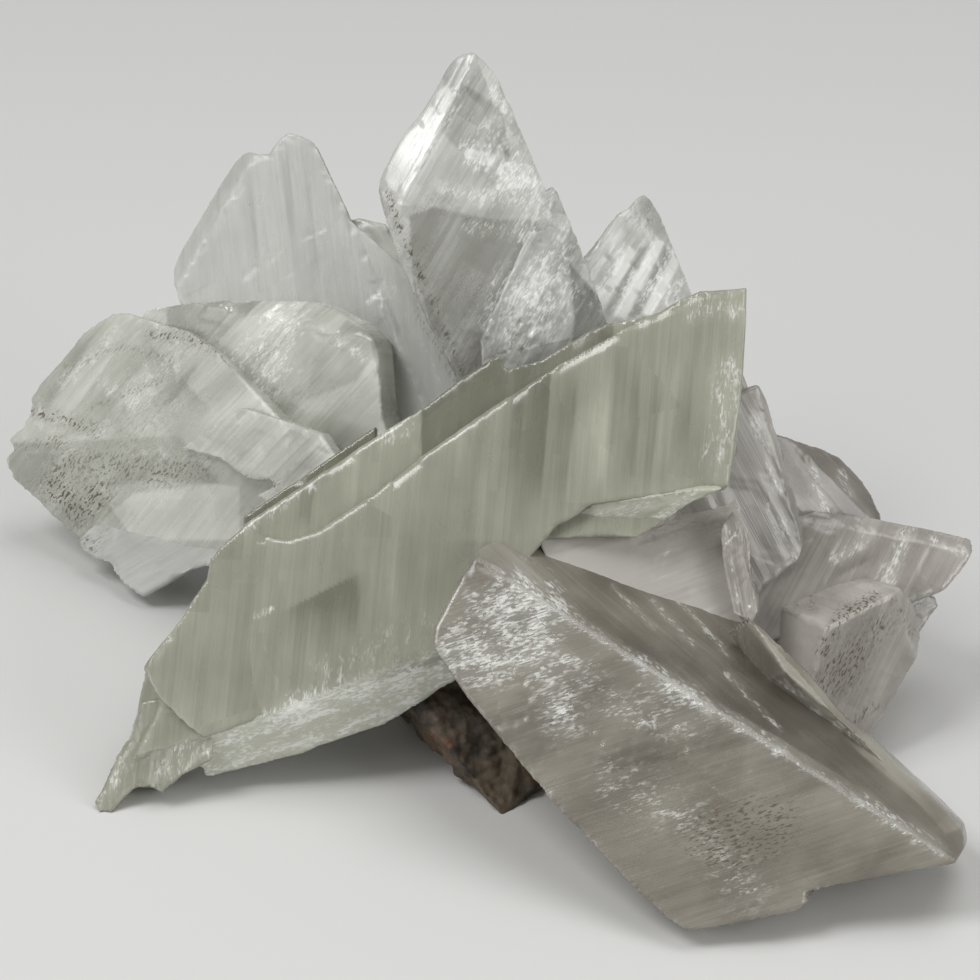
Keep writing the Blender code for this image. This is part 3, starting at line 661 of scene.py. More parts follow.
# the long green-grey blade across the front, in a near and a far sheet
frontFace = {"turn": -10, "tip": 10, "lean": (-0.14, 0.12), "look": "green", "grain": 84}
frontLeftEdge = [
    (36, 67.6), (33.3, 65.3), (31.4, 63), (30.9, 60), (28.5, 56.6), (27, 54),
    (24, 50.3, 2), (21.5, 46.7, 3), (20.8, 42, 4), (20.6, 39.8, 4), (19.2, 36, 4), (17.4, 33.4, 4),
]
# the sheen marks in these crystals are painted sheen and painted glints
frontBlade = {
    "frontBladeNearSheet": {
        **frontFace, "at": (14.3, 24.8, 0), "thick": 10, "taper": 1, "rearTaper": 0.9, "seed": 1,
        "outline": [
            (18.6, 29.2, 4), (24.2, 28.4, 4), (25.7, 29.2, 4), (27, 30.6, 4), (30.4, 32.2, 4),
            (30.6, 29.9, 5), (45, 33.2, 5), (47.2, 34.6, 5), (57.6, 37.8, 5), (66, 43.4, 9),
            (68.6, 44.8, 9), (80, 64), (83.3, 67.8), (86.3, 69.4), (88.5, 71.2), (96, 72.2),
            (105, 73.4), (109.1, 73.9), (110.3, 79.5), (111.4, 91.5), (112.2, 104.1),
            (105, 103.5), (102.8, 102.6), (99, 100.4), (96, 99.2), (90, 95.9), (84, 92.6),
            (75.3, 86.7), (63.3, 78.6), (57, 73.4), (48, 67.5), (43, 66)] + frontLeftEdge,
        "bevels": [((24, 33), (45, 41), 46), ((45, 41), (68, 48), 48),
                   ((32.5, 59), (22.5, 38), 42)],
        "voxel": 0.42, "swell": 0.2,
        "sideGrain": (19, (68, 50.4), (20, 31.8)),
        "paintedSheen": [(1, 2, (20.5, 28.2), (27, 32.6), (31.5, 35.2), (36, 36.9), (45, 40.2)),
                 (1, 2.2, (45, 40.2), (51, 42.2), (57, 43.8), (66, 46.2)),
                 (0.85, 1.2, (31.5, 31.3), (40, 34.2), (50, 36.8), (62, 41.6)),
                 (0.6, 0.4, (36.2, 53.8), (38.4, 54.6), (41, 55.6)),
                 (0.45, 1.4, (104, 100), (107, 100.8), (110, 100.6)),
                 (0.3, 2.4, (107, 78), (108.6, 84), (109.6, 92)),
                 (0.16, 3, (49, 47), (57, 50), (68, 54))],
        "bands": [
            (0.28, 3, (84.4, 69), (87.2, 94)), (-0.16, 3.4, (90.6, 69.5), (91.6, 93)),
            (0.20, 2.2, (97.4, 73), (99.8, 91)), (-0.16, 2.6, (99.8, 74), (102.6, 96)),
            (0.16, 1.6, (102.8, 78), (104.6, 96)), (0.14, 1.8, (94.6, 73), (95.6, 84)),
            (0.22, 3.4, (53.6, 50), (54, 62.4)), (0.12, 2.6, (61.6, 54), (63.4, 72)),
            (-0.10, 3, (72, 60), (73.4, 80)), (0.14, 2.4, (49.4, 46), (50.6, 60)),
            (0.18, 2.6, (36.6, 44), (38, 60)), (-0.14, 2, (32.4, 46), (34, 62)),
            (0.26, 3.6, (55.6, 61.9), (40.9, 54.4)), (0.12, 1.4, (28, 46), (29.2, 56)),
            (0.4, 3.6, (81, 70), (83, 97)), (0.2, 1.6, (77.6, 74), (78.8, 94)),
            (0.22, 1.6, (95.2, 74), (96.2, 94)), (-0.16, 2, (91, 72), (92.4, 98)),
            (0.12, 1.2, (70.4, 62), (71.8, 84)), (-0.12, 1.6, (58.8, 54), (60.4, 72)),
            (0.1, 1.2, (45.6, 44), (46.6, 58)), (-0.12, 1.4, (106.4, 80), (108.6, 102))],
        "toneAndLightPatches": [
            (-0.10, (105, 60), (114, 60), (114, 108), (109.4, 104), (108, 84)),
            # painted light: the lower rim made lighter, as if lit from below and in front
            (-0.56, (21, 28.6), (31.5, 36.4), (45, 41.2), (57, 45), (67, 47.4), (70, 43),
             (60, 36), (30, 28))],
        "dirt": [(0.8, 1.4, (21.5, 29.3), (26, 29.8)), (0.12, 3, (57, 46.5), (66, 52), (70, 56))]},
    "frontBladeFarSheet": {
        **frontFace, "turn": -7.5, "at": (38, 66, -3.05), "thick": 8.5, "taper": 0.98, "rearTaper": 0.88,
        "seed": 2,
        "outline": [
            (30.4, 36), (68, 50), (73, 64), (80, 66), (90, 66.5), (95.6, 66.3),
            (99, 68.3), (104.3, 71.8), (108.8, 74.1), (110.8, 92), (111.4, 103.4), (105, 103.1),
            (99, 100.2), (93.3, 98.9), (90, 98.3), (81, 93), (75.8, 91.7), (75, 94),
            (69, 90.3), (63.2, 85.8), (56.4, 81.5), (36.8, 68.6)] + frontLeftEdge[:8] + [(24, 42)],
        "bands": [(0.2, 2.4, (46, 66), (48, 78)), (-0.14, 2.4, (53, 68), (55, 84))],
        "toneAndLightPatches": [
            (0.42, (63, 92), (63.4, 76), (75.7, 84), (75.7, 100)),
            (0.24, (75.7, 84), (92, 94), (92, 101), (75.7, 96))],
        "paintedSheen": [(0.5, 1.2, (57, 81), (61, 83)), (0.3, 0.8, (37.5, 68), (47, 74))],
        "chips": 0.08, "plateHeight": 0.05},
    "frontBladeRim": {
        "turn": -10, "tip": -32, "at": (96, 72.3, 5.8), "thick": 5, "look": "green", "grain": 20, "seed": 3,
        "outline": [
            (83.3, 67.8), (84, 66.9), (90, 66.5), (95.6, 66.3), (99, 68.3), (104.3, 71.8),
            (108.8, 73.6), (105, 73.6), (96, 72.4), (88.5, 71.4)],
        "voxel": 0.3, "paintedSheenAll": 0.36, "swell": 0.06, "plateHeight": 0.06,
        "toneAndLightPatches": [(-0.42, (80, 60), (112, 60), (112, 80), (80, 80))],
        "paintedSheen": [(0.7, 0.8, (84, 67.4), (92, 67.6), (98, 69), (104, 72.2)),
                 (0.5, 0.9, (90, 70), (98, 71.2))]},
    "frontBladeToe": {
        **frontFace, "at": (14.3, 24.8, -0.4), "thick": 6, "seed": 4,
        "outline": [
            (14, 26.6), (14.6, 24.9), (16.5, 24.7), (18.2, 26.9), (20, 28.7), (22.5, 28.8),
            (24.2, 27.8), (27, 30.6), (32, 33), (32, 44), (21.2, 42), (19.4, 36.2), (16.8, 32.6)],
        "voxel": 0.35, "paintedSheenAll": 0.25, "dirt": [(0.7, 1.2, (21, 28.8), (25.5, 29.4))],
        "paintedSheen": [(0.5, 1, (15.5, 27), (19, 33))]},
    "frontBladeDarkStrip": {
        **frontFace, "at": (14.3, 24.8, -7), "thick": 3, "taper": 1, "rearTaper": 1, "seed": 5,
        "outline": [(36.5, 69.5), (36.5, 66), (56.4, 79.5), (56.4, 83)],
        "voxel": 0.3, "swell": 0.05, "chips": 0.05, "plateHeight": 0.03,
        "toneAndLightPatches": [(0.6, (34, 62), (60, 76), (60, 88), (34, 72))]},
}
growAll(frontBlade, "front blade")

# the thick brownish crystal at the lower right
# the sheen marks in these crystals are painted sheen and painted glints
leaningBlock = {
    "leaningBlock": {
        "turn": -4, "tip": 20, "at": (78, 66.8, 8), "thick": 24, "taper": 1, "rearTaper": 0.78,
        "lean": (0.1, 0.36), "look": "brown", "grain": 18, "seed": 6,
        "outline": [
            (64.6, 50.3), (69, 43.5), (82.5, 27), (94.5, 14.3), (100.5, 9), (102.8, 7.6),
            (105, 7.4), (119.3, 10.2), (121.2, 11.6), (120.5, 13.1), (136, 16.2, 2), (141.8, 17.4, 3),
            (143.4, 17.8, 3), (144.8, 20, 4), (144.4, 22.6, 5), (141, 26.6, 8), (132.6, 34.6, 11),
            (126.8, 39.6, 12), (113.6, 54.4, 13), (104, 68, 15), (78, 67.5, 5), (75, 66.6),
            (72, 64.8), (69.2, 61), (67.2, 57), (65, 53)],
        "bevels": [((90, 51.5), (139.5, 20.3), 40)],
        "voxel": 0.48, "mosaic": 0.25,
        "sideGrain": (-41, (72, 62.8), (139.5, 20.3)),
        "mosaicAt": [(1, 5, (80, 42), (90, 36)), (0.8, 5, (95, 40), (112, 30))],
        # painted sheen on the satin patches and painted highlights along the ridge
        "paintedSheen": [(0.8, 3.6, (76, 56.6), (78.4, 58.4), (81, 55.8)), (0.4, 3.4, (71.5, 55), (79, 53.6)),
                 (0.7, 2.6, (68.4, 50.4), (74, 48.6), (80, 48.2)), (0.4, 2.4, (66.8, 47), (74, 45.6)),
                 (0.7, 2.6, (83, 43), (84.5, 38.5)), (0.35, 3, (80, 51), (88, 46)),
                 (0.5, 1.4, (97, 44.6), (103.5, 42.4)), (0.35, 2.4, (92, 41), (104, 38)),
                 (0.4, 1, (84, 55.4), (90, 51.4), (96, 47.6)),
                 (0.5, 1.1, (96, 47.6), (105, 42), (111, 38.2), (117, 34.4)),
                 (0.38, 0.8, (117, 34.4), (129, 27)), (0.45, 1.1, (129, 27), (141, 19.4)),
                 (0.28, 4, (92, 30), (104, 24), (112, 14)),
                 (0.5, 0.5, (92, 59), (98, 53)), (0.45, 0.5, (98, 57), (104, 50)),
                 (0.45, 0.45, (101, 58), (109, 49)), (0.4, 0.45, (109, 46), (117, 37.5))],
        "dirt": [(1, 4.2, (108.5, 21), (116, 24)), (0.5, 8, (106, 24), (114, 18)),
                 (0.2, 0.8, (81, 29.4), (93, 30.8), (105, 33), (114, 35.2)),
                 (0.16, 7, (82, 28), (100, 16))],
        "bands": [(0.3, 5, (104, 44), (133, 26.6)), (0.2, 3, (80, 29), (114, 35.6)),
                  (0.16, 6, (92, 52), (112, 39)), (-0.3, 3, (126, 36.5), (136, 28))],
        # painted light: the lower side face and the shaded trough beside the edge sheet made lighter
        "toneAndLightPatches": [(-0.08, (112, 36), (142, 18), (146, 14), (116, 8), (110, 22)),
                    (-0.3, (106, 60), (142, 22), (148, 24), (120, 62))]},
    "leaningBlockEdgeSheet": {
        "turn": 27, "tip": 30, "at": (127.5, 37.8, 15.3), "thick": 8, "taper": 1, "rearTaper": 0.96,
        "lean": (0.1, 0.3), "look": "brown", "grain": -40, "seed": 7,
        "outline": [
            (112, 54.8), (117.8, 46.2), (127.5, 37.6), (134.3, 30.6), (140.4, 24.4), (141.8, 23.2),
            (140.4, 25.8), (131.4, 34.4), (126, 39.2), (116.2, 50.4)],
        "voxel": 0.32, "paintedSheenAll": 0.1, "chips": 0.08, "plateHeight": 0.04,
        # painted light: the whole sheet made lighter against the shade of the trough, with a painted
        # highlight strip along it
        "toneAndLightPatches": [(-0.4, (108, 58), (140, 20), (146, 24), (120, 60))],
        "paintedSheen": [(0.8, 0.7, (117.5, 44.6), (127, 36.6), (134, 29.8))]},
}
growAll(leaningBlock, "leaning block")

# the pale fan at the left
speckledFace = {"turn": -36, "tip": -2, "look": "pale", "grain": 46}
# the sheen marks in these crystals are painted sheen and painted glints
leftFan = {
    "leftBroadBlade": {
        "turn": -30, "tip": -6, "at": (45, 100, -29), "thick": 11, "look": "pale", "grain": 48, "seed": 8,
        "outline": [
            (20.6, 99.4), (22.5, 100.7), (26.7, 101.4), (33, 102), (45, 102), (48.8, 101),
            (51.8, 99.3), (54.3, 97.8), (56, 96), (56.6, 93.8), (57.5, 84), (62, 72),
            (50, 62), (36, 68), (24, 84)],
        "bevels": [((33, 100.8), (54, 96.4), 35)],
        "paintedSheen": [(0.6, 3.2, (28, 82), (36, 91), (43, 99)), (0.4, 3, (32, 80), (42, 91)),
                 (0.6, 1, (51, 95.8), (54.5, 93.6))],
        "toneAndLightPatches": [
            (0.4, (25, 96), (33, 96.4), (40.5, 103), (25, 103)),
            (0.34, (46.2, 87), (53.6, 90), (57.5, 96), (52, 99), (47, 93)),
            (0.2, (37, 80), (46.2, 87), (47, 93), (40, 88))],
        "bands": [(-0.3, 4, (40, 71), (50, 84)), (0.25, 2, (31, 84), (42, 96.6)),
                  (0.2, 1.6, (36, 82), (47, 95))],
        "dirt": [(0.35, 1.2, (21, 97.5), (27, 97.8), (32.2, 95.7)), (0.3, 2, (41, 83), (45, 88))]},
    "leftSpeckledBlade": {
        **speckledFace, "at": (45, 84, -25), "thick": 12, "seed": 9,
        "outline": [
            (20.4, 99.6), (18.7, 100.2), (16.8, 100), (14.6, 98.7), (12.2, 97), (9, 93),
            (6, 89.7), (4.5, 87.3), (4.5, 84.8), (3.7, 83.2), (1.1, 81), (2.1, 79.8), (1, 78.3, 1),
            (1.2, 77.2, 1), (2.3, 75, 2), (5.8, 71.8, 3), (8.1, 69.5, 4), (10.2, 67.5, 4), (11.8, 65.8, 4),
            (24, 64), (40, 62), (52, 66), (44, 82), (33, 94), (28, 97.5)],
        "bevels": [((2.5, 79.4), (33, 78.8), 14)],
        "paintedSheen": [(0.6, 1, (9.5, 89.5), (17.5, 97)), (0.5, 1.2, (15, 89.6), (19, 87.6)),
                 (0.35, 2.4, (20, 88), (27, 95)), (0.3, 1.6, (12, 80), (22, 88))],
        "bands": [(0.3, 1.6, (6, 84), (15, 98)), (0.25, 2.4, (14, 82), (25, 97)),
                  (-0.3, 1.6, (10, 84), (20, 98)), (0.3, 1.4, (24, 84), (31, 94)),
                  (0.3, 2, (33, 84), (21, 97))],
        "toneAndLightPatches": [(0.3, (1, 80.4), (3, 66), (12, 66), (20, 73), (33, 74.6), (27, 81.6)),
                    (-0.3, (15, 73.6), (20, 66), (36, 66), (36, 74), (24, 75.4))],
        "dirt": [(1, 2.4, (8, 74), (12, 70), (14.5, 72.6)), (0.8, 1.2, (5, 85.4), (14, 82.6)),
                 (0.65, 2.6, (10, 78), (24, 76), (30, 77)),
                 (0.5, 0.7, (10, 92), (18, 95), (26, 93)), (0.5, 0.6, (14, 86), (24, 90)),
                 (0.8, 0.9, (22, 96.8), (28, 96.4), (32.4, 94.6)),
                 (0.3, 4, (20, 82), (26, 88)), (0.6, 1, (2.5, 79.8), (9, 81))]},
    "leftLowBlade": {
        "turn": -33, "tip": 4, "at": (21.3, 57.3, -49), "thick": 11, "lean": (0, 0.3), "look": "milky",
        "grain": 30, "seed": 10,
        "outline": [
            (11.6, 66), (12, 64.5), (14.3, 62.9), (16.2, 62.5), (18, 60), (20.2, 57.9), (21.3, 57.2),
            (22.5, 57.9), (27.8, 61), (31, 62), (46, 60), (58, 64), (50, 76),
            (37, 72.8), (18, 71.8)],
        "paintedSheenAll": 0.1, "dirt": [(0.8, 0.9, (11.5, 67), (14, 64.8)), (0.3, 1, (15, 66), (19, 72))]},
    "leftLedge": {
        **speckledFace, "at": (45, 84, -23.4), "thick": 6, "seed": 11,
        "outline": [
            (27, 79.8), (33, 78.2), (36.8, 75), (40.6, 75), (41, 74), (38.2, 72.6),
            (46, 68), (56, 70), (48, 82), (36, 86)],
        "voxel": 0.36, "paintedSheenAll": 0.1, "dirt": [(0.85, 1.1, (33, 76.6), (38, 74.2), (41, 74.4))]},
}
growAll(leftFan, "left fan")

# the smooth white blade at the upper left and the sliver behind it
# the sheen marks in these crystals are painted sheen and painted glints
upperLeft = {
    "upperLeftBlade": {
        "turn": -14, "tip": 8, "at": (69, 90.3, -30), "thick": 13, "lean": (-0.12, 0.08), "look": "milky",
        "grain": 97, "seed": 12,
        "outline": [
            (25.7, 106.5, 1), (26.1, 108, 1), (27, 110, 1), (30, 115, 1), (33, 120.2, 1),
            (35, 123, 1), (36, 124, 1), (37.1, 124.5), (38.4, 124), (40.2, 124), (41, 124.8),
            (42.2, 126.5), (43.2, 127.2), (44.6, 126.8), (46.5, 126.1), (47.5, 125.2), (52.8, 114),
            (60.4, 107.2), (69, 90.3), (80, 70), (66, 62), (40, 80), (26.8, 101), (26, 104)],
        "bevels": [((28.5, 107.5), (37, 122), 30), ((54, 111.3), (59.3, 97.5), 20)],
        "bands": [(0.4, 1, (44.4, 108), (43.2, 128)), (0.25, 0.9, (48.6, 100), (45.6, 126)),
                  (0.3, 1.2, (39.2, 104), (37.4, 124))],
        # painted light: the lower part beside the tall blade made lighter, cancelling the shadow that blade
        # casts
        "toneAndLightPatches": [(-1, (54, 112), (60, 98), (59, 84), (72, 84), (68, 98), (60, 112))],
        "paintedSheen": [(0.3, 0.8, (56, 104), (62, 90)), (0.3, 0.6, (59, 104), (66, 90))],
        "dirt": [(0.4, 0.9, (63, 100), (68.6, 90)), (0.1, 2, (50, 106), (54, 104))]},
    "upperLeftSliver": {
        "turn": -10, "tip": 8, "at": (57, 110, -40), "thick": 8, "look": "pale", "grain": -62, "seed": 13,
        "outline": [
            (52.4, 114), (53.6, 114.5), (57.8, 113.6), (61.5, 106), (72, 84), (62, 80),
            (48, 104)]},
}
growAll(upperLeft, "upper left blades")

# the tallest crystal with the sheet on its right, and the pointed one behind
tallFace = {"turn": 7, "tip": 4, "look": "bright", "grain": 60}
# the sheen marks in these crystals are painted sheen and painted glints
tallCrystals = {
    "tallBlade": {
        **tallFace, "at": (69, 88, -13), "thick": 14, "seed": 14,
        "outline": [
            (67.2, 137.4), (68.2, 138.6), (69.3, 139.3), (70.6, 139.4), (72, 138.6), (73.5, 137.2),
            (75, 135), (76.8, 131.3), (79.5, 124.5), (82.1, 118.8), (86, 110), (90, 96),
            (94, 80), (84, 60), (74, 74), (69, 90.3), (64.5, 98.3), (60.3, 107.3),
            (58.2, 113.7), (57.2, 117.3), (56.7, 119.7), (57, 121.2), (59.3, 125.3), (60.8, 127.8),
            (63, 130.2), (65.6, 134.3)],
        "bevels": [((69.9, 136.5), (61.5, 119), 30), ((72.5, 136), (79, 121), 24),
                   ((62.3, 116), (81, 115.6), 9), ((59.6, 117), (70.6, 92), 46)],
        "mosaic": 0.45,
        "mosaicAt": [(1, 5, (74, 96), (82, 108)), (0.8, 3, (72, 124), (78, 121))],
        # painted highlights: the glint on the cap, the pale band on the left bevel and the glinting mosaic
        # lower down
        "paintedSheen": [(1.2, 1.5, (70.6, 124), (73.6, 123.4)), (0.95, 1.2, (76, 121.5), (80, 119.4)),
                 (0.8, 0.8, (74, 133.4), (76.6, 130)), (0.25, 2, (70.4, 135.8), (66, 127.8), (63.8, 124.6)),
                 (0.5, 1.2, (66, 119), (72, 117.6)), (0.4, 4, (74, 126), (79, 119)),
                 (0.7, 1.4, (73, 117.2), (76.4, 119.6)),
                 (0.85, 3.2, (77, 97), (82, 105)), (0.6, 1.6, (72, 98), (76, 106)),
                 (0.7, 1.6, (83, 97), (86, 104)), (0.5, 2, (81, 108), (84, 113)),
                 (0.6, 1.2, (81, 116.4), (79, 112)),
                 (0.45, 1.2, (70.4, 112.9), (78, 111.9))],
        "dirt": [(0.8, 0.8, (58, 118), (60.4, 112), (63.4, 105), (67, 97), (69.6, 91)),
                 (0.3, 0.6, (62.3, 116), (66, 115.5), (70.5, 114.3)), (0.15, 4, (66, 108), (72, 96)),
                 (0.35, 1, (64, 117.5), (69, 117))],
        "toneAndLightPatches": [
            (0.38, (61.4, 114.6), (65.2, 115.9), (68, 115.2), (71, 114.5), (75, 113.9), (78.6, 114.2),
             (80.4, 113.6), (76.8, 105.6), (73, 96), (80, 80), (68, 80), (62, 104)),
            (0.22, (80.4, 113.6), (76.8, 105.6), (73, 96), (80, 80), (96, 80), (90, 96),
             (85, 108)),
            (0.2, (69.2, 134.6), (75.4, 130.6), (76.4, 123.4), (68.6, 124.6), (66.2, 127.4))]},
    "tallBladeSheet": {
        **tallFace, "at": (69, 88, -13.4), "thick": 9, "seed": 15,
        "outline": [
            (81.9, 118.6), (82.8, 119.3), (83.6, 118.5), (87, 110.3), (90, 102), (91, 99.3),
            (94, 90), (86, 78), (73, 86), (72, 96), (78, 109.5), (81, 115.2)],
        "voxel": 0.36, "mosaic": 0.5, "mosaicAt": [(1, 5, (76, 94), (86, 108))], "mosaicCell": (1.9, 1),
        "paintedSheen": [(0.6, 2.6, (80, 103), (84.5, 111)), (0.8, 3, (76, 97), (81, 104)),
                 (0.5, 1.8, (82, 97), (86, 104)), (0.6, 1.2, (82.4, 117.4), (80, 113))],
        "toneAndLightPatches": [(0.42, (85.4, 107.6), (92, 100), (92, 84), (84, 84), (86.2, 99))]},
    "pointedBlade": {
        "turn": 12, "tip": 6, "at": (96, 100, -24), "thick": 12, "look": "bright", "grain": 57, "seed": 16,
        "outline": [
            (87.3, 108), (90.8, 112.2), (92.8, 115.1), (93.4, 115.5), (94.8, 116.1), (95.6, 117.4),
            (96.7, 118.1, 1), (97.9, 117.3, 2), (99.2, 114.8, 3), (102.2, 108, 3), (104, 103.3, 3),
            (108.2, 92, 3), (98, 74), (84, 80), (82, 96)],
        "bevels": [((96.5, 114), (101.5, 101), 38)],
        "voxel": 0.38, "mosaic": 0.3, "mosaicCell": (5, 1.4), "mosaicAt": [(1, 7, (92, 104), (99, 104))],
        # painted reflection: bright diagonal stripes made lighter and the gaps between them darker, as glassy
        # highlights
        "toneAndLightPatches": [
            (-0.5, (88, 100), (90, 99.6), (95.6, 109), (94.4, 110)),
            (-0.5, (92, 99.6), (93.8, 99.2), (99.6, 110.6), (98.4, 111.4)),
            (-0.55, (96.2, 100), (97.6, 99.6), (102, 107.6), (101, 108.6)),
            (0.35, (90.4, 99.6), (91.6, 99.6), (97.2, 110), (96, 109.8)),
            (0.4, (94.2, 99.6), (95.6, 99.6), (100.4, 108.8), (99.8, 109.8))],
        "paintedSheen": [(0.9, 0.8, (88.5, 101.5), (93.5, 109.5)), (0.8, 0.7, (92, 101), (98.5, 111)),
                 (0.9, 0.7, (96, 101.6), (101, 109.4)), (0.8, 0.6, (100, 102), (103, 106)),
                 (0.6, 1, (94.6, 114.6), (97, 112))],
        "dirt": [(0.5, 1.2, (95.6, 115), (97.6, 113.4))]},
}
growAll(tallCrystals, "tall crystals")

# the group at the right
# the sheen marks in these crystals are painted sheen and painted glints
rightGroup = {
    "rightUprightBlade": {
        "turn": 16, "tip": -4, "at": (112, 75, -5), "thick": 12, "look": "pink", "grain": -62, "seed": 17,
        "outline": [
            (112, 88.7), (112.8, 89.1), (113.7, 89.5), (114.5, 88.8), (115.5, 87), (116.4, 84),
            (117.2, 81.5), (118.2, 77.5), (120, 72), (121, 66), (120, 62.8), (114.6, 58.6),
            (112, 54), (100, 50), (96, 70), (104, 84)],
        "bevels": [((117.4, 76), (120.2, 66), 40)],
        "voxel": 0.4, "paintedSheen": [(0.4, 1, (113.5, 84), (117, 74)), (0.5, 0.6, (117, 70), (119.4, 63)),
                 (0.35, 0.6, (114.6, 72), (117.4, 64))]},
    "rightSpike": {
        "turn": 10, "tip": 4, "at": (110, 90, -16), "thick": 8, "look": "pink", "grain": -70, "seed": 18,
        "outline": [
            (107, 97), (110.4, 93.8), (112.4, 88.8), (114, 82), (102, 74), (96, 90)]},
    "rightRoundedBlade": {
        "turn": 24, "tip": -4, "at": (124, 72, -16), "thick": 12, "look": "pink", "grain": -50, "seed": 19,
        "outline": [
            (116.5, 81.9), (120, 80.7, 1), (123.2, 79.8, 2), (126.5, 78.4, 2), (129.2, 75.5, 2),
            (130.8, 73, 2), (131.8, 69.4, 2), (131, 62), (118, 54), (104, 60), (106, 76)],
        "bevels": [((121, 78.8), (129.5, 70.5), 32)],
        "voxel": 0.4, "bands": [(0.8, 1.4, (122.4, 71.4), (116, 83))],
        "toneAndLightPatches": [(0.22, (112, 84), (134, 82), (134, 58), (112, 60))],
        "paintedSheen": [(0.5, 1, (122, 76), (124, 71)), (0.5, 0.6, (126, 76.4), (127.4, 73))]},
    "smallDoubleEnded": {
        "turn": -12, "tip": 6, "at": (111, 60, 3), "thick": 7, "look": "pink", "grain": -80, "seed": 20,
        "outline": [
            (110, 70.6), (108.4, 68.8), (108, 67.5), (108.3, 63), (109.5, 57), (110, 54.9),
            (112.8, 53.5), (113.7, 55), (113.6, 57), (112, 62), (111.2, 68.3)],
        "bevels": [((110.9, 68.6), (113, 55), 34)],
        "voxel": 0.25, "swell": 0.1, "chips": 0.06, "paintedSheen": [(0.5, 0.5, (109, 68), (110.6, 57))]},
    "rightPointingBlade": {
        "turn": 8, "tip": 14, "at": (132, 64, -12), "thick": 12, "look": "pink", "grain": 62, "seed": 21,
        "outline": [
            (122, 70.8), (131.5, 69.5, 1), (139, 68, 1), (145.9, 66.3, 1), (146.3, 65.2), (145.3, 63),
            (143.8, 60.8), (141.8, 58.6), (138, 57.2), (126, 52), (108, 50), (104, 64)],
        "bevels": [((133, 66.6), (145, 64.2), 30)],
        "voxel": 0.4, "mosaic": 0.3,
        "paintedSheen": [(0.6, 0.8, (125, 63), (131, 66.6)), (0.6, 1.2, (133, 60.4), (136, 67)),
                 (0.5, 0.6, (140, 66), (144.6, 63.6)), (0.5, 0.8, (130, 58.8), (134, 60))],
        "bands": [(0.4, 2, (124, 59.6), (132, 63.8))]},
    "rightKnob": {
        "turn": 14, "tip": 0, "at": (138, 56, -14), "thick": 9, "look": "pink", "grain": 30, "seed": 22,
        "outline": [
            (136, 59), (140.6, 57.6), (140.9, 56.2), (139.6, 54.5), (138, 52), (126, 50),
            (124, 57)],
        "voxel": 0.3, "paintedSheenAll": 0.4},
    "rightSpeckledBlock": {
        "turn": 35, "tip": -15, "at": (124.2, 52.8, 2), "thick": 18, "taper": 0.98, "look": "pink",
        "grain": 64, "seed": 23,
        "outline": [
            (124.2, 52.8), (130, 56), (135.6, 58.6), (137.6, 56.6), (138.8, 53.7), (138.9, 51),
            (138, 48.8), (135.8, 45), (131.7, 37.8), (128, 32), (119.5, 37)],
        "bevels": [((134.5, 57), (137, 50), 24)],
        "voxel": 0.4,
        "dirt": [(1, 1.2, (123.6, 49.4), (126, 54.6), (131, 57.4)), (0.85, 2.6, (125, 46), (132, 53)),
                 (0.7, 2.2, (123, 42), (128, 46)), (0.9, 0.9, (127.6, 38.6), (131.6, 41.4)),
                 (0.7, 0.7, (118.4, 58.2), (119.4, 56)), (0.7, 0.7, (121.4, 58), (122.2, 55.6)),
                 (0.7, 0.8, (134, 57), (137, 52))],
        # painted light: the left face made much lighter against the shade it lies in
        "toneAndLightPatches": [(-0.9, (117, 34), (122.4, 46), (123.8, 52.6), (112, 57)),
                    (-0.15, (123.9, 52.4), (136, 58.6), (118, 62), (112, 57))]},
    "brownBlade": {
        "turn": 10, "tip": 16, "at": (104, 66, -2), "thick": 10, "look": "pink", "grain": 20, "seed": 24,
        "outline": [
            (84, 58), (80.5, 66.4), (96, 72), (109.6, 75.4), (112.5, 66), (113, 54), (98, 50)],
        # painted light: the whole blade made lighter against the shadow of the front blade's rim
        "toneAndLightPatches": [(-0.45, (78, 56), (78, 76), (114, 78), (114, 52))],
        "dirt": [(0.3, 3, (98, 68), (108, 71))]},
}
growAll(rightGroup, "right group")

# blades that only show from behind and below
rearRoot = (2, 6, 16)
rearBlades = {
    "rearLeftBlade": {"towards": (-32, 50, 38), "face": (-0.5, 0.2, 1), "width": 26, "thick": 12},
    "rearMiddleBlade": {
        "towards": (8, 62, 44), "face": (0.1, -0.6, 1), "width": 28, "thick": 12, "endLean": -1},
    "rearRightBlade": {"towards": (42, 44, 24), "face": (0.4, 0.3, 1), "width": 24, "thick": 11},
    "rearLowLeftBlade": {
        "towards": (-24, 46, 8), "face": (-0.3, 0.3, 1), "width": 24, "thick": 10, "endLean": -1},
    "rearLowRightBlade": {"towards": (30, 50, 9), "face": (0.2, 0.2, 1), "width": 26, "thick": 11},
    "rightLowBlade": {"towards": (58, 10, 8), "face": (0.3, 0.5, 1), "width": 22, "thick": 11, "endLean": -1},
}
rearFringe = {"count": 8, "firstBearing": 24, "bearingStep": 19, "rises": (20, 34, 12, 27)}
for step in range(rearFringe["count"]):
    bearing = math.radians(rearFringe["firstBearing"] + step * rearFringe["bearingStep"])
    reach = 31 + 4 * (step % 3)
    rearBlades[f"rearFringeBlade{step + 1}"] = {
        "towards": (rearRoot[0] + reach * math.cos(bearing), rearRoot[1] + reach * math.sin(bearing),
                    rearFringe["rises"][step % 4]),
        "face": (math.sin(2.1 * step), math.cos(1.3 * step), 0.9),
        "width": 13 + 2 * (step % 2), "thick": 7, "endLean": (-1) ** step,
    }
rearLooks = ("pale", "bright", "green")
for place, (name, crystal) in enumerate(rearBlades.items()):
    finish = {"root": rearRoot, "look": rearLooks[place % 3], "seed": 30 + place}
    # each rear blade gets a thin spread of painted sheen
    rearBlades[name] = {**finish, "voxel": 0.55, "paintedSheenAll": 0.3, **crystal}
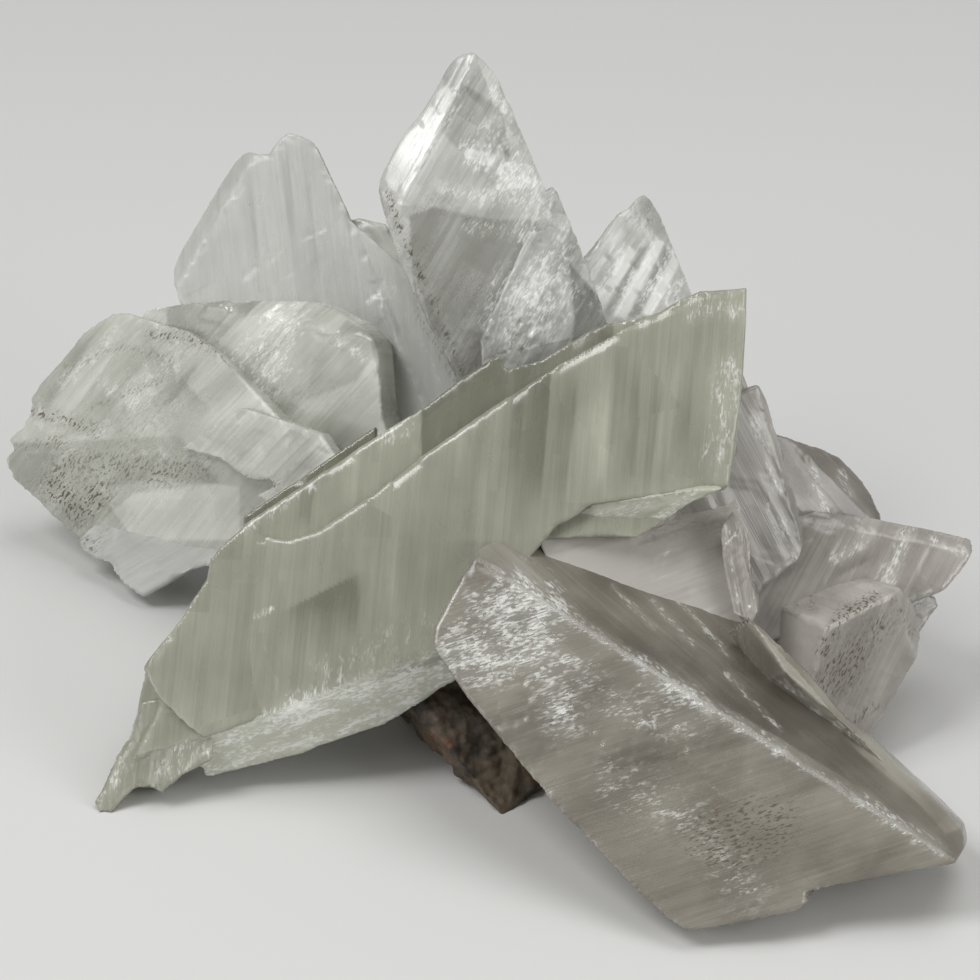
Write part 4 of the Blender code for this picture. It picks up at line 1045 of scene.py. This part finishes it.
growAll(rearBlades, "rear blades")

# the heart in which the blades meet
heart = {"middle": (2, 6, 23), "radius": 17, "stretch": (1.25, 0.95, 0.85)}
heartMesh = bmesh.new()
bmesh.ops.create_icosphere(heartMesh, subdivisions=5, radius=heart["radius"])
placeHeart = Matrix.Translation(heart["middle"]) @ Matrix.Diagonal((*heart["stretch"], 1))
bmesh.ops.transform(heartMesh, matrix=Matrix.Scale(mm, 4) @ placeHeart, verts=heartMesh.verts)
heartPiece = newPiece("crystalHeart", meshFrom("crystalHeart", heartMesh))
keepOnPoints(heartPiece.data, "place", coordsOf(heartPiece.data) / mm)
heartPiece.data.materials.append(finishes["pale"])
heartPiece.data.shade_smooth()
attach(heartPiece, "root")
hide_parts("selenite_crystals")

# the stained matrix lump
matrixLump = {
    "middle": Vector((4, -1, 9)),
    "breaks": [(-150, -28, 16.3), (-60, 45, 7.2), (-40, -20, 15.9), (-6, 10, 18), (28, -14, 18.5),
               (60, 20, 19), (95, -12, 19.4), (128, 22, 19), (160, -14, 19.5), (-172, 30, 17),
               (-115, 20, 19), (30, 64, 12.5), (150, 66, 12)],
    "voxel": 0.35, "lumps": 0.7, "grit": 0.18,
    "rust": [(0.9, 0.9, (60, 38.8), (63, 37.4), (67, 35.4)), (0.8, 0.8, (67, 35.4), (68.2, 31), (70.4, 28.6)),
             (0.5, 1.2, (128, 36.5), (132, 34))],
}
dark = (0.034, 0.026, 0.018)
clay = (0.115, 0.09, 0.062)
rust = (0.13, 0.06, 0.03)


def clayFinish():
    n = Nodes("clayFinish")
    place = n.add("ShaderNodeTexCoord")
    spot = n.stretched(place.outputs["Object"], (mm, mm, mm))
    broad = n.ramp(n.noise(n.stretched(spot, (6, 6, 6)), 4, 0.6), 0.38, 0.62)
    colour = n.mix(broad, dark, clay)
    stain = n.noise(n.stretched(spot, (3.4, 3.4, 2.0)), 4, 0.65, 0.4)
    stain = n.math("ADD", stain, n.math("MULTIPLY", n.attribute("rust"), 0.17))
    colour = n.mix(n.ramp(stain, 0.6, 0.78, 0.0, 0.85), colour, rust)
    n.join(colour, n.shader.inputs["Base Color"])
    grains = n.noise(n.stretched(spot, (0.5, 0.5, 0.5)), 4, 0.7)
    n.join(n.ramp(grains, 0.3, 0.7, 0.55, 0.9), n.shader.inputs["Roughness"])
    n.bump(grains, 0.7, 0.15 * mm)
    return n.material


lump = bmesh.new()
bmesh.ops.create_cube(lump, size=120)
bmesh.ops.translate(lump, verts=lump.verts, vec=matrixLump["middle"])
for bearing, lift, distance in matrixLump["breaks"]:
    level = math.cos(math.radians(lift))
    outward = Vector((math.cos(math.radians(bearing)) * level, math.sin(math.radians(bearing)) * level,
                      math.sin(math.radians(lift))))
    cutAway(lump, matrixLump["middle"] + outward * distance, outward)
cutAway(lump, table, down)
lumpPiece = fineMesh("clayMatrix", lump, Matrix.Identity(4), matrixLump["voxel"])
lumpCo = coordsOf(lumpPiece.data)
lumpOut = normalsOf(lumpPiece.data)
lumpMove = matrixLump["lumps"] * layeredNoise(lumpCo / (5.5, 5.5, 3.5), 71, 4)
lumpMove += matrixLump["grit"] * softNoise(lumpCo / 0.9, 77)
lumpMove *= smoothStep(0.1, 1.5, lumpCo[:, 2])
lumpRust = sum(markMask(sheetCoords(lumpCo), mark) for mark in matrixLump["rust"])
keepOnPoints(lumpPiece.data, "rust", lumpRust)
lumpCo += lumpOut * lumpMove[:, None]
lumpCo[:, 2] = np.maximum(lumpCo[:, 2], 0.0)
movePoints(lumpPiece.data, lumpCo)
lumpPiece.data.transform(Matrix.Scale(mm, 4))
lumpPiece.data.materials.append(clayFinish())
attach(lumpPiece, "root")
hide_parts("clay_matrix")
print("matrix made")

# floor, light and camera
studio = {
    "floorSize": 3, "floorColour": (0.62, 0.62, 0.61, 1), "floorRough": 0.75,
    "airColour": (0.83, 0.825, 0.81, 1), "airStrength": 0.36, "aim": Vector((0, 0, 0.035)),
}
floorMesh = bmesh.new()
bmesh.ops.create_grid(floorMesh, x_segments=1, y_segments=1, size=studio["floorSize"])
floor = newPiece("floor", meshFrom("floor", floorMesh))
floorNodes = Nodes("floorFinish")
floorNodes.shader.inputs["Base Color"].default_value = studio["floorColour"]
floorNodes.shader.inputs["Roughness"].default_value = studio["floorRough"]
floor.data.materials.append(floorNodes.material)

lights = {
    "keyLight": {"at": (-0.5, -0.2, 0.9), "size": 0.4, "power": 4.6},
    "topLight": {"at": (0.25, 0.10, 0.95), "size": 0.6, "power": 3.0},
    "leftFill": {"at": (-0.9, -0.45, 0.35), "size": 0.6, "power": 2.7},
    "rightFill": {"at": (0.8, -0.5, 0.4), "size": 0.6, "power": 3.9},
}
for name, light in lights.items():
    lamp = bpy.data.lights.new(name, "AREA")
    lamp.size = light["size"]
    lamp.energy = light["power"]
    lampPiece = newPiece(name, lamp)
    lampPiece.location = light["at"]
    towards = studio["aim"] - Vector(light["at"])
    lampPiece.rotation_euler = towards.to_track_quat("-Z", "Y").to_euler()

world = bpy.data.worlds.new("studio")
bpy.context.scene.world = world
world.use_nodes = True
air = world.node_tree.nodes["Background"].inputs
air["Color"].default_value = studio["airColour"]
air["Strength"].default_value = studio["airStrength"]
bpy.context.scene.view_settings.view_transform = "Standard"

sensor = 36.0
camera = bpy.data.cameras.new("photoView")
camera.sensor_width = sensor
camera.lens = sensor * sheet["eyeDistance"] / sheet["side"]
camera.clip_start = 0.05
cameraPiece = newPiece("photoView", camera)
cameraPiece.location = eye * mm
cameraPiece.rotation_euler = (-nearWay).to_track_quat("-Z", "Y").to_euler()
bpy.context.scene.camera = cameraPiece
print("stage set")
